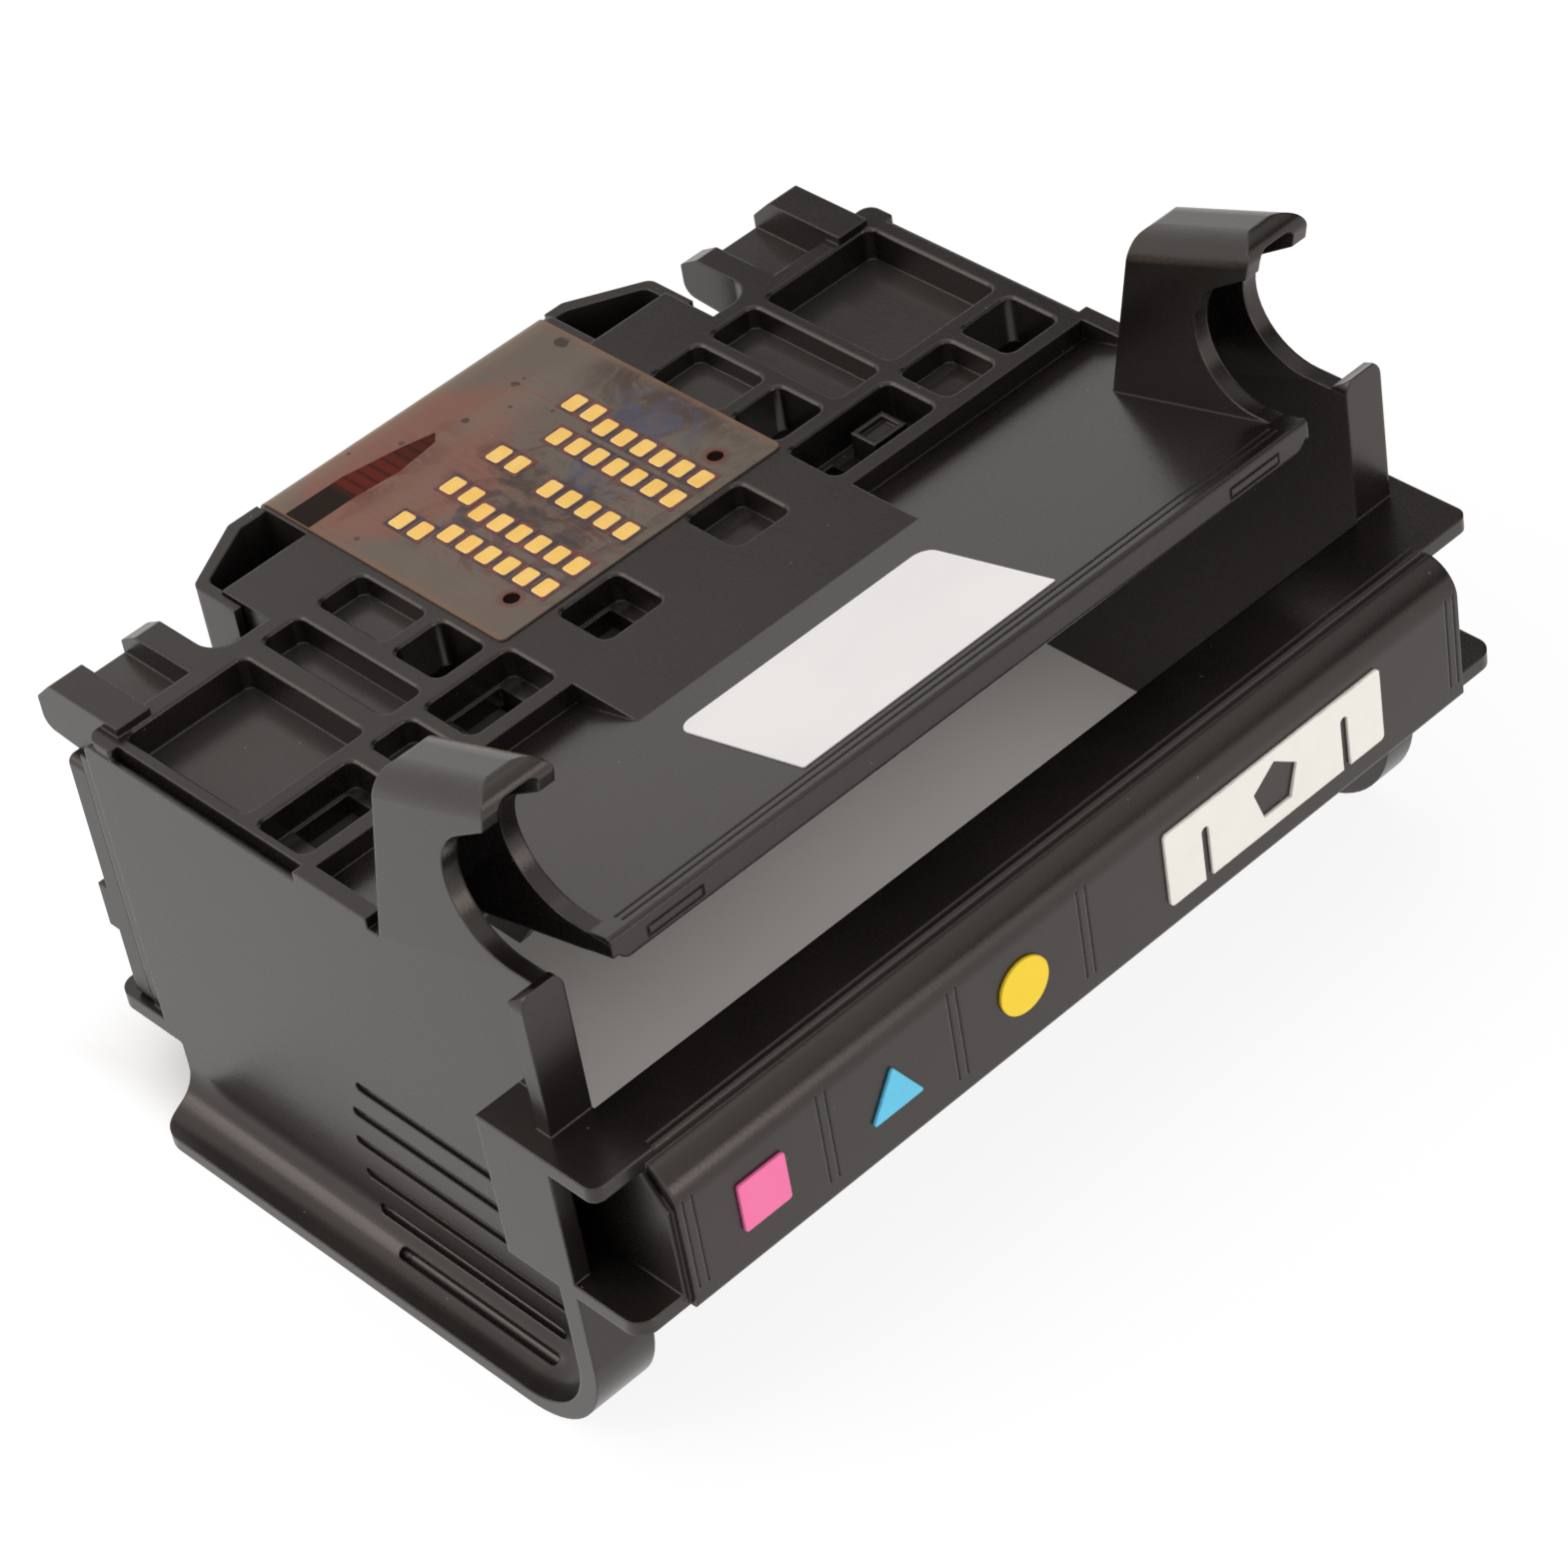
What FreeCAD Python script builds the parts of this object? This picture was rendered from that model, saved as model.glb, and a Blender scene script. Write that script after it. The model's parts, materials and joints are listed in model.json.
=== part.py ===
import FreeCAD, Part

import math
import os

# Carriage printhead for single ink cartridges, in millimetres.
# Drawn with x = 0 in the middle, y = 0 at the front face of the marked bar and z = 0
# under the side fins. The contact face looks up and the nozzle face looks back.
# export() moves everything so that the origin is the middle of the footprint.

# Depths of the layers behind the bays, from which the back of every piece follows
BAY_FLOOR_Y = 69.05
BAY_FLOOR = 2.2
MANIFOLD = 2.8
GASKET = 0.5
FRAME_BACK = BAY_FLOOR_Y + BAY_FLOOR + MANIFOLD + GASKET

# Side walls, fins and the outer box
WALL_OUT = 47.7
WALL = 1.7
WALL_TOP = 42.6
WALL_BACK = FRAME_BACK - 2.3
WALL_BACK_LOW = WALL_BACK - 2.0
WALL_STEP_Z = 7.8
LEDGE = 0.5
FIN_REACH = 4.85
FIN_REACH_RIGHT = 1.8
FIN = 1.4
FIN_FRONT = 8.65
FIN_FRONT_WALL = 2.2
FIN_CURL_R = 11.0
FIN_END_R = 3.0
FIN_BLEND_R = 3.6
PANEL = 1.8
PANEL_BACK = 17.1

# Finger grooves on the outside of the walls: height down the wall and where each ends
GROOVES = ((19.65, 41.8), (15.8, 43.3), (11.9, 44.0), (8.0, 43.8), (4.2, 42.9), (1.7, 39.3))
GROOVE_R = 0.6
GROOVE_SINK = 0.25
GROOVE_FRONT = 17.8

# Contact plate with its coring pockets
PLATE_TOP = 43.67
PLATE = 5.0
PLATE_FRONT = 42.45
PLATE_BACK = FRAME_BACK - 3.7
POCKET_CORNER_R = 0.9
POCKET_EDGE = 0.25
SLAB_LEFT = -17.1
SLAB_RIGHT = 16.5
TONGUE_LEFT = -27.5
TONGUE_RIGHT = 26.5
TONGUE_BACK = FRAME_BACK + 2.8
RAIL_BACK = 43.5
RAIL_NOTCH = 1.5
EDGE_STRIP = 0.45
EDGE_GROOVE = 0.65
EDGE_GROOVE_DEEP = 1.0
END_BLOCK = 3.3
END_BLOCK_WIDE = 2.7

# Ramp that carries the label, and its front lip
LIP_FRONT = 10.25
LIP_TOP = 50.0
LIP_BOTTOM = 46.6
LIP_DEPTH = 3.2
LIP_CORNER_R = 3.2
RAMP_DROP = 2.2
RAMP = 2.0
LIP_LINE = 0.22
LIP_LINES = (1.2, 2.1)
LIP_FRAME_X = (31.0, 37.2)
LIP_FRAME_Z = (47.5, 48.7)

# Hooked arms
ARM_WIDTH = 8.4
LEG = 1.65
ARM_BACK = 32.6
ARM_BACK_TOP = 28.6
ARM_BACK_R = 1.6
ARM_TOP_BACK_Z = 62.1
ARM_ROOF_SLOPE = 0.36
ARM_FRONT = 13.8
ARM_RIDGE_R = 1.5
ARM_TIP_Y = 14.8
ARM_TIP_Z = 63.4
ARM_ROOF = 1.7
ARM_ARCH_R = 2.65
ARM_DRAFT = 0.5
ARM_DRAFT_HEIGHT = 18.0
HOOK_Y = 14.9
HOOK_Z = 55.7
HOOK_R = 6.45
POST_OUT = 2.7
POST_DEEP = 1.8
POST_TOP_Z = 51.0
POST_R = 2.0
POST_GAP = 0.4

# Marked bar across the front
BAR_WALL = 1.5
BAR_TOP = 35.6
BAR_BOTTOM = 19.9
BAR_FLANGE_FRONT = 3.0
BAR_FLANGE_BACK = 10.15
BAR_WING_BACK = 16.2
BAR_FLOOR_FRONT = 0.9
BAR_SHOULDER_R = 3.4
BAR_SHOULDER_DROP = 1.0
BAR_RIB = 1.0
BAR_LINE = 0.2
BAR_LINE_DEEP = 0.15
BAR_LINE_Z = (21.9, 31.8)
BAR_EDGE_LINE = 0.7

# Cartridge bays: the partitions between them, from left to right
BAY_EDGES = (-46.0, -31.2, -16.15, -0.76, 46.0)
BAY_NAMES = ("magenta", "cyan", "yellow", "black")
DIVIDER = 1.2
DIVIDER_TOP_Y = 31.0
DIVIDER_LOW_Y = 60.0
BAY_FLOOR_Z = 3.0

# Ink towers in the bays
TOWER_Z = 15.0
TOWER_R = 3.6
TOWER_HEIGHT = 6.0
TOWER_FOOT_R = 4.2
TOWER_FOOT = 2.1
TOWER_BORE_R = 1.6
SCREEN = 0.3
SCREEN_SEAT = 0.5
SEAL = 2.0
SEAL_RING = 1.5
SEAL_CLEARANCE = 0.05

# Chip contacts under the plate
BLOCK_WIDTH = 8.0
BLOCK_FRONT = 43.2
BLOCK_BACK = 51.6
BLOCK = 1.8
SPRINGS = 4
SPRING_PITCH = 1.6
SPRING_WIDTH = 0.8
SPRING_STRIP = 0.25
SPRING_RISE = 1.1

# Prongs and ledges at the back corners
PRONG_BACK = FRAME_BACK + 6.5
PRONG_RISE = 0.9
PRONG_TIP_Z = 42.3
PRONG_SLOPE = 2.4
LEDGE_TOP = 41.0
LEDGE_PLATE = 2.0
PRONGS_LEFT = (-45.9, -42.2, -36.5, -33.6)
PRONGS_RIGHT = (31.6, 34.3, 41.2, 44.9)
PRONG_HOLLOW_R = 2.6

# Rear frame, foot flange and manifold
FRAME_HALF = 47.0
FRAME_RIM = 6.0
FOOT_TOP = 9.7
FOOT = 1.7
FOOT_BACK = FRAME_BACK + 4.75
FOOT_CORNER_R = 1.8
MANIFOLD_GAP = 0.15
CHANNEL = 1.6
CHANNEL_DEEP = 1.5

# Nozzle snout
SNOUT_MID = -0.6
SNOUT_HALF = 27.9
SNOUT_TONGUE_GAP = 0.15
SNOUT_BACK_HALF = 20.4
SNOUT_BACK = FRAME_BACK + 10.0
SNOUT_SHOULDER = SNOUT_BACK - 4.25
SNOUT_BASE = 2.35
SNOUT_BASE_HALF = 47.0
SNOUT_RIM_TOP = 43.4
SNOUT_RIM = 1.2
SNOUT_POCKET_Z = 15.0
SNOUT_CORE_HALF = 17.6
SNOUT_NOSE_R = 1.3
TAB_DEEP = 1.5
TAB_WIDTH = 3.0
TAB_Z = (17.6, 22.6)

# Dies and carrier on the nozzle face
CARRIER_HALF = 15.6
CARRIER_Z = (12.0, 40.6)
CARRIER = 2.0
CARRIER_GAP = 0.1
DIE_LONG = 24.0
DIE_THICK = 0.7
DIE_GAP = 0.05
BLACK_DIE_X = 7.6
BLACK_DIE_WIDTH = 4.4
COLOUR_DIE_X = -7.6
COLOUR_DIE_WIDTH = 7.4
INK_SLOT = 1.0
INK_SLOT_LONG = 20.0
COLOUR_SLOT_PITCH = 2.2
BEAD_R = 0.9
BEAD_RISE = 0.25

# Flex circuit and its pads
FLEX = 0.2
FLEX_MID = -0.3
FLEX_HALF = 16.9
FLEX_FRONT = 51.4
FLEX_CORNER_R = 0.7
FLEX_END_Z = 11.0
FLEX_WINDOW_GAP = 0.3
FLEX_HOLE_R = 0.78
FLEX_HOLES = (-12.7, 11.9)
FLEX_HOLE_Y = 55.15
PAD = 0.06
PAD_X = 2.2
PAD_Y = 1.65
PAD_CORNER_R = 0.3
PAD_FIRST_Y = 53.73
PAD_PITCH = 2.53
# Each pad column: x of its front pads and x of its two back pads
PAD_COLUMN_X = (
    (8.8, 9.65),
    (5.4, 5.4),
    (0.38, 0.38),
    (-0.28, -0.28),
    (-6.25, -5.2),
    (-9.95, -11.3),
)
# Rows of each pad column: first, last and the first one that stands at the back x
PAD_COLUMN_ROWS = (
    (0, 7, 6),
    (0, 6, 7),
    (6, 7, 8),
    (0, 4, 8),
    (0, 7, 6),
    (0, 7, 6),
)

# Marks on the bar and the label on the ramp
MARK = 0.3
MARK_MID_Z = 26.6
SQUARE = 5.2
SQUARE_CORNER_R = 0.35
TRIANGLE_WIDE = 5.9
TRIANGLE_HIGH = 4.7
DISC_R = 2.8
BADGE_WIDE = 27.4
BADGE_HIGH = 8.0
BADGE_SLOT_X = 8.85
BADGE_SLOT_WIDE = 0.9
BADGE_SLOT_TOP = 5.7
PENTAGON_R = 2.9
LABEL = 0.12
LABEL_X = (-16.7, 12.9)
LABEL_BACK = 29.6
LABEL_LONG = 16.8
LABEL_CORNER_R = 1.6


def derived():
    """Sizes that follow from the driving ones."""
    total = SNOUT_BACK + FLEX + BEAD_RISE
    front_bays = [(a, b) for a, b in zip(BAY_EDGES, BAY_EDGES[1:])]
    return total, front_bays


TOTAL_DEPTH, BAYS = derived()
RAMP_SLOPE = (LIP_TOP - PLATE_TOP + RAMP_DROP) / (PLATE_FRONT - LIP_FRONT)
SLAB_FRONT = PLATE_FRONT - RAMP_DROP / RAMP_SLOPE
FIN_OUT = WALL_OUT + FIN_REACH
PLATE_LOW = PLATE_TOP - PLATE


def outline(corners, place):
    """Closed wire through (u, v, radius) corners, each rounded by its radius."""
    count = len(corners)
    entries = []
    for i in range(count):
        u, v, r = corners[i]
        back = corners[i - 1]
        ahead = corners[(i + 1) % count]
        here = FreeCAD.Vector(u, v, 0)
        to_back = (FreeCAD.Vector(back[0], back[1], 0) - here).normalize()
        to_ahead = (FreeCAD.Vector(ahead[0], ahead[1], 0) - here).normalize()
        half = to_back.getAngle(to_ahead) / 2
        if r == 0:
            entries.append((here, None, here))
            continue
        run = r / math.tan(half)
        bisector = (to_back + to_ahead).normalize()
        middle = here + bisector * (r / math.sin(half) - r)
        entries.append((here + to_back * run, middle, here + to_ahead * run))
    edges = []
    for i in range(count):
        start, middle, end = entries[i]
        last = entries[i - 1][2]
        if last.distanceToPoint(start) > 1e-6:
            edges.append(Part.LineSegment(place(last), place(start)).toShape())
        if middle is not None:
            edges.append(Part.Arc(place(start), place(middle), place(end)).toShape())
    return Part.Wire(edges)


def with_radius(corners):
    """Adds a zero radius to plain (u, v) corners."""
    return [tuple(c) if len(c) == 3 else (c[0], c[1], 0) for c in corners]


def prism_x(corners, x0, x1):
    """Outline of (y, z) corners, extruded from x0 to x1."""
    wire = outline(with_radius(corners), lambda p: FreeCAD.Vector(x0, p.x, p.y))
    return Part.Face(wire).extrude(FreeCAD.Vector(x1 - x0, 0, 0))


def prism_y(corners, y0, y1, rise=0.0):
    """Outline of (x, z) corners, extruded from y0 to y1, climbing by rise on the way."""
    wire = outline(with_radius(corners), lambda p: FreeCAD.Vector(p.x, y0, p.y))
    return Part.Face(wire).extrude(FreeCAD.Vector(0, y1 - y0, rise))


def prism_z(corners, z0, z1):
    """Outline of (x, y) corners, extruded from z0 to z1."""
    wire = outline(with_radius(corners), lambda p: FreeCAD.Vector(p.x, p.y, z0))
    return Part.Face(wire).extrude(FreeCAD.Vector(0, 0, z1 - z0))


def box(x0, x1, y0, y1, z0, z1):
    """Box between two corners."""
    return Part.makeBox(x1 - x0, y1 - y0, z1 - z0, FreeCAD.Vector(x0, y0, z0))


def rectangle(a0, a1, b0, b1, r=0.0):
    """Corners of a rectangle with rounded corners."""
    return [(a0, b0, r), (a1, b0, r), (a1, b1, r), (a0, b1, r)]


def rod_y(x, z, r, y0, y1):
    """Cylinder along y."""
    return Part.makeCylinder(r, y1 - y0, FreeCAD.Vector(x, y0, z), FreeCAD.Vector(0, 1, 0))


def rod_x(y, z, r, x0, x1):
    """Cylinder along x."""
    return Part.makeCylinder(r, x1 - x0, FreeCAD.Vector(x0, y, z), FreeCAD.Vector(1, 0, 0))


def fuse(shapes):
    """All the shapes as one."""
    return shapes[0].multiFuse(shapes[1:]).removeSplitter()


def mirrored(shape):
    """The same shape on the other side of the object."""
    return shape.mirror(FreeCAD.Vector(0, 0, 0), FreeCAD.Vector(1, 0, 0))


def both_sides(shapes):
    """The shapes and their mirror images."""
    return shapes + [mirrored(s) for s in shapes]


def ramp_z(y):
    """Height of the ramp's top face at a depth."""
    return LIP_TOP - (y - LIP_FRONT) * RAMP_SLOPE


def roof_z(y):
    """Height of an arm's ridge at a depth."""
    return ARM_TOP_BACK_Z + (ARM_BACK_TOP - y) * ARM_ROOF_SLOPE


def bay_mid(i):
    """Middle of a bay across the object."""
    return (BAY_EDGES[i] + BAY_EDGES[i + 1]) / 2


# Side walls, fins and finger grooves


def side_wall():
    """Left side wall with its stepped back edge and curled front."""
    corners = [
        (WALL_BACK, WALL_TOP, 1.0),
        (LIP_FRONT, WALL_TOP, 0),
        (LIP_FRONT, BAR_TOP - BAR_WALL / 2, 0),
        (BAR_FLANGE_FRONT + 1.0, BAR_TOP - BAR_WALL / 2, 0),
        (BAR_WALL / 2, BAR_TOP - BAR_SHOULDER_R - BAR_WALL, 0),
        (BAR_WALL / 2, BAR_BOTTOM + BAR_WALL / 2, 0),
        (FIN_FRONT, BAR_BOTTOM + BAR_WALL / 2, 0),
        (FIN_FRONT, 0, FIN_CURL_R),
        (WALL_BACK_LOW, 0, 0.6),
        (WALL_BACK_LOW, WALL_STEP_Z, 0),
        (WALL_BACK, WALL_STEP_Z + 2.0, 0),
    ]
    return prism_x(corners, -WALL_OUT, -WALL_OUT + WALL)


def fin():
    """Left fin: a flange under the wall that curls up in front to the bar."""
    inner_r = FIN_CURL_R - (FIN_FRONT_WALL + FIN) / 2
    top = BAR_BOTTOM + BAR_WALL / 2
    corners = [
        (FIN_FRONT, top, 0),
        (FIN_FRONT, 0, FIN_CURL_R),
        (WALL_BACK_LOW, 0, 0),
        (WALL_BACK_LOW, FIN, 0),
        (FIN_FRONT + FIN_FRONT_WALL, FIN, inner_r),
        (FIN_FRONT + FIN_FRONT_WALL, top, 0),
    ]
    return prism_x(corners, -FIN_OUT, -WALL_OUT + WALL)


def is_fin_root(edge):
    """The inner corner between the wall and its fin, all the way round the curl."""
    b = edge.BoundBox
    on_wall = abs(b.XMin + WALL_OUT) < 0.01 and abs(b.XMax + WALL_OUT) < 0.01
    behind_curl = b.YMin > FIN_FRONT + FIN_FRONT_WALL - 0.01 and b.YMin < WALL_BACK_LOW - 0.01
    above_fin = b.ZMin > FIN - 0.01 and b.ZMax < BAR_BOTTOM + BAR_WALL
    return on_wall and behind_curl and above_fin


def wall_with_fin():
    """Wall and fin joined by a hollow fillet, with the fin's back corner rounded."""
    side = fuse([side_wall(), fin()])
    side = side.makeFillet(FIN_BLEND_R, [e for e in side.Edges if is_fin_root(e)])
    r = FIN_END_R
    y = WALL_BACK_LOW
    corner = box(-FIN_OUT - 1, -FIN_OUT + r, y - r, y + 1, -1, BAR_BOTTOM)
    core = Part.makeCylinder(r, BAR_BOTTOM + 3, FreeCAD.Vector(-FIN_OUT + r, y - r, -2))
    return side.cut(corner.cut(core))


def right_fin_cut():
    """The right fin is narrower than the left one by this block."""
    x0 = WALL_OUT + FIN_REACH_RIGHT
    return box(x0, FIN_OUT + 1, FIN_FRONT - 1, WALL_BACK, -1, BAR_BOTTOM)


def groove_axis(z):
    """Across and height of a groove that lies at a height down the wall and its fillet."""
    r = FIN_BLEND_R
    down = FIN + r - z
    if down <= 0:
        return -WALL_OUT + GROOVE_SINK, z
    reach = r + GROOVE_SINK
    angle = down / r
    return -WALL_OUT - r + reach * math.cos(angle), FIN + r - reach * math.sin(angle)


def finger_grooves():
    """Round-ended grooves in the wall, whose back ends lie on an arc."""
    grooves = []
    for height, back in GROOVES:
        x, z = groove_axis(height)
        front = GROOVE_FRONT
        if height < FIN_CURL_R / 2:
            front = FIN_FRONT + FIN_CURL_R
        groove = rod_y(x, z, GROOVE_R, front, back)
        for y in (front, back):
            groove = groove.fuse(Part.makeSphere(GROOVE_R, FreeCAD.Vector(x, y, z)))
        grooves.append(groove)
    return grooves


def end_panel():
    """Left end panel of the bar, standing outside the wall on the fin's edge line."""
    plate = box(-FIN_OUT, -FIN_OUT + PANEL, FIN_FRONT, PANEL_BACK, BAR_BOTTOM, BAR_TOP)
    web = box(-FIN_OUT + PANEL, -WALL_OUT + 0.2, PANEL_BACK - PANEL, PANEL_BACK, BAR_BOTTOM, BAR_TOP)
    return [plate, web]


# Contact plate, ramp and lip


def contact_plate():
    """Plate with its back tongue, the front slab wedge and the two rails."""
    inside = WALL_OUT - LEDGE
    plate = box(-inside, inside, PLATE_FRONT, PLATE_BACK, PLATE_LOW, PLATE_TOP)
    tongue = box(TONGUE_LEFT, TONGUE_RIGHT, PLATE_BACK - 1, TONGUE_BACK, PLATE_LOW, PLATE_TOP)
    wedge = prism_x(
        [
            (SLAB_FRONT, PLATE_TOP),
            (PLATE_FRONT + 1, PLATE_TOP),
            (PLATE_FRONT + 1, PLATE_LOW),
            (PLATE_FRONT - 2, PLATE_LOW + 1),
        ],
        SLAB_LEFT,
        SLAB_RIGHT,
    )
    rail_front = ARM_BACK + RAIL_NOTCH
    rail = box(-WALL_OUT, -WALL_OUT + WALL, rail_front, RAIL_BACK, PLATE_LOW, PLATE_TOP)
    y1 = PLATE_BACK + 0.75
    x0 = -WALL_OUT + 0.1
    x1 = x0 + END_BLOCK_WIDE
    end_block = prism_z(
        [
            (x0, y1 - END_BLOCK, 0.4),
            (x1, y1 - END_BLOCK, 0),
            (x1, y1, 0.4),
            (x0, y1, 1.3),
        ],
        WALL_TOP - 2,
        PLATE_TOP,
    )
    return [plate, tongue, wedge] + both_sides([rail, end_block])


def edge_groove():
    """Narrow groove between the top of the left wall and the plate."""
    x0 = -WALL_OUT + EDGE_STRIP
    y1 = PLATE_BACK + 0.75 - END_BLOCK
    return box(x0, x0 + EDGE_GROOVE, RAIL_BACK, y1, WALL_TOP - EDGE_GROOVE_DEEP, PLATE_TOP + 1)


def ramp():
    """Sloping label plate with its thick front lip and two fine lines."""
    half = WALL_OUT - ARM_WIDTH + LEG
    under = RAMP / math.cos(math.atan(RAMP_SLOPE))
    section = [
        (LIP_FRONT, LIP_TOP, 0.4),
        (LIP_FRONT, LIP_BOTTOM, 0.8),
        (LIP_FRONT + LIP_DEPTH, LIP_BOTTOM, 0),
        (LIP_FRONT + LIP_DEPTH, ramp_z(LIP_FRONT + LIP_DEPTH) - under, 0),
        (PLATE_FRONT + 0.5, ramp_z(PLATE_FRONT + 0.5) - under, 0),
        (PLATE_FRONT + 0.5, ramp_z(PLATE_FRONT + 0.5), 0),
    ]
    slope = prism_x(section, -half, half)
    ends = [
        (-half, LIP_TOP + 5, 0),
        (-half, LIP_BOTTOM, LIP_CORNER_R),
        (half, LIP_BOTTOM, LIP_CORNER_R),
        (half, LIP_TOP + 5, 0),
    ]
    lip = slope.common(prism_y(ends, LIP_FRONT - 1, LIP_FRONT + LIP_DEPTH))
    rest = slope.common(box(-half, half, LIP_FRONT + LIP_DEPTH, PLATE_FRONT + 1, 0, LIP_TOP + 5))
    back_half = WALL_OUT - WALL + 0.2
    back = [
        (ARM_BACK - 2, ramp_z(ARM_BACK - 2) - under),
        (PLATE_FRONT + 0.5, ramp_z(PLATE_FRONT + 0.5) - under),
        (PLATE_FRONT + 0.5, ramp_z(PLATE_FRONT + 0.5)),
        (ARM_BACK - 2, ramp_z(ARM_BACK - 2)),
    ]
    return [lip, rest, prism_x(back, -back_half, back_half)]


def lip_lines():
    """Fine lines along the top of the lip and a framed field near each end of its front."""
    half = WALL_OUT - ARM_WIDTH - 0.8
    cuts = []
    for inset in LIP_LINES:
        y = LIP_FRONT + inset
        z = ramp_z(y)
        cuts.append(box(-half, half, y, y + LIP_LINE, z - LIP_LINE, z + 1))
    x0, x1 = LIP_FRAME_X
    z0, z1 = LIP_FRAME_Z
    y0 = LIP_FRONT - 1
    y1 = LIP_FRONT + LIP_LINE
    line = LIP_LINE
    field = box(x0 + line, x1 - line, y0 - 1, y1 + 1, z0 + line, z1 - line)
    frame = box(x0, x1, y0, y1, z0, z1).cut(field)
    return cuts + both_sides([frame])


def pocket(x0, x1, y0, y1, depth):
    """Rounded coring pocket with a softened top edge; depth None goes right through."""
    low = PLATE_TOP - depth if depth else PLATE_LOW - 1
    r = POCKET_CORNER_R
    e = POCKET_EDGE
    shaft = prism_z(rectangle(x0, x1, y0, y1, r), low, PLATE_TOP + 1)
    rim_low = outline(rectangle(x0, x1, y0, y1, r), lambda p: FreeCAD.Vector(p.x, p.y, PLATE_TOP - e))
    rim_top = outline(
        rectangle(x0 - e, x1 + e, y0 - e, y1 + e, r + e),
        lambda p: FreeCAD.Vector(p.x, p.y, PLATE_TOP),
    )
    return [shaft, Part.makeLoft([rim_low, rim_top], True, True)]


# Pockets: x from, x to, y from, y to, depth. Rows share their y edges.
ROW_FRONT = (44.3, 50.6)
ROW_BACK = (52.4, PLATE_BACK - 2.05)
SHORT_BACK = (60.1, PLATE_BACK - 1.75)
SHORT_FRONT = (52.4, 58.4)
WINDOW_DEPTH = 3.0
POCKETS = (
    (-45.4, -32.1, ROW_BACK[0], ROW_BACK[1], 3.4),
    (-29.8, -25.6, ROW_BACK[0], ROW_BACK[1] + 0.3, 2.8),
    (-23.4, -18.3, SHORT_BACK[0], SHORT_BACK[1], 2.2),
    (-23.8, -18.2, SHORT_FRONT[0], SHORT_FRONT[1], None),
    (-27.0, -17.2, ROW_FRONT[0], ROW_FRONT[1], WINDOW_DEPTH),
    (-33.1, -28.6, ROW_FRONT[0], ROW_FRONT[1], 2.6),
    (-45.7, -35.3, ROW_FRONT[0], ROW_FRONT[1], WINDOW_DEPTH),
    (-11.45, -4.5, ROW_FRONT[0], ROW_FRONT[1], WINDOW_DEPTH),
    (4.25, 10.7, ROW_FRONT[0], ROW_FRONT[1] + 0.4, 2.6),
    (16.9, 22.8, SHORT_BACK[0], SHORT_BACK[1], 2.0),
    (16.9, 22.8, SHORT_FRONT[0], SHORT_FRONT[1], None),
    (24.4, 29.9, ROW_BACK[0], ROW_BACK[1] + 0.3, 2.4),
    (31.4, 44.9, ROW_BACK[0], ROW_BACK[1] + 0.2, 3.4),
    (16.4, 29.0, ROW_FRONT[0], ROW_FRONT[1], 4.0),
    (30.5, 36.7, ROW_FRONT[0], ROW_FRONT[1], 2.4),
    (38.35, 44.8, ROW_FRONT[0], ROW_FRONT[1], None),
)
# Through slots in the windows over the chip contacts: x from, x to, y from, y to
SLOTS = (
    (-42.6, -36.6, 46.2, 50.2),
    (-24.8, -19.2, 46.2, 50.2),
    (-10.8, -6.2, 46.0, 50.2),
    (17.4, 20.6, 45.2, 49.8),
)
# Boxed boss in the right window: x from, x to, y from, y to, depth below the plate's top
BOSS = (22.6, 26.6, 45.9, 49.0, 1.2)


def plate_cuts():
    """Every pocket and slot in the plate."""
    cuts = []
    for x0, x1, y0, y1, depth in POCKETS:
        cuts.extend(pocket(x0, x1, y0, y1, depth))
    for x0, x1, y0, y1 in SLOTS:
        cuts.append(box(x0, x1, y0, y1, PLATE_LOW - 1, PLATE_TOP))
        cuts.append(box(x0 + 1.2, x1 - 1.8, y0 - 0.8, y0 + 1, PLATE_LOW - 1, PLATE_TOP))
    return cuts


def window_boss():
    """Boxed boss with a dished top in the right window."""
    x0, x1, y0, y1, down = BOSS
    block = box(x0, x1, y0, y1, PLATE_LOW, PLATE_TOP - down)
    rim = 0.5
    dish = box(x0 + rim, x1 - rim, y0 + rim, y1 - rim, PLATE_TOP - down - rim, PLATE_TOP)
    return block.cut(dish)


# Hooked arms


def arch(x0, x1, low, drop, r):
    """Section of an arm at its back edge: sides that lean in towards a rounded roof."""
    top = roof_z(ARM_BACK)
    knee = top - ARM_DRAFT_HEIGHT
    lean = ARM_DRAFT * (1 - drop / ARM_DRAFT_HEIGHT)
    return [
        (x0, low, 0),
        (x0, knee, 0),
        (x0 + lean, top - drop, r),
        (x1 - lean, top - drop, r),
        (x1, knee, 0),
        (x1, low, 0),
    ]


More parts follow.
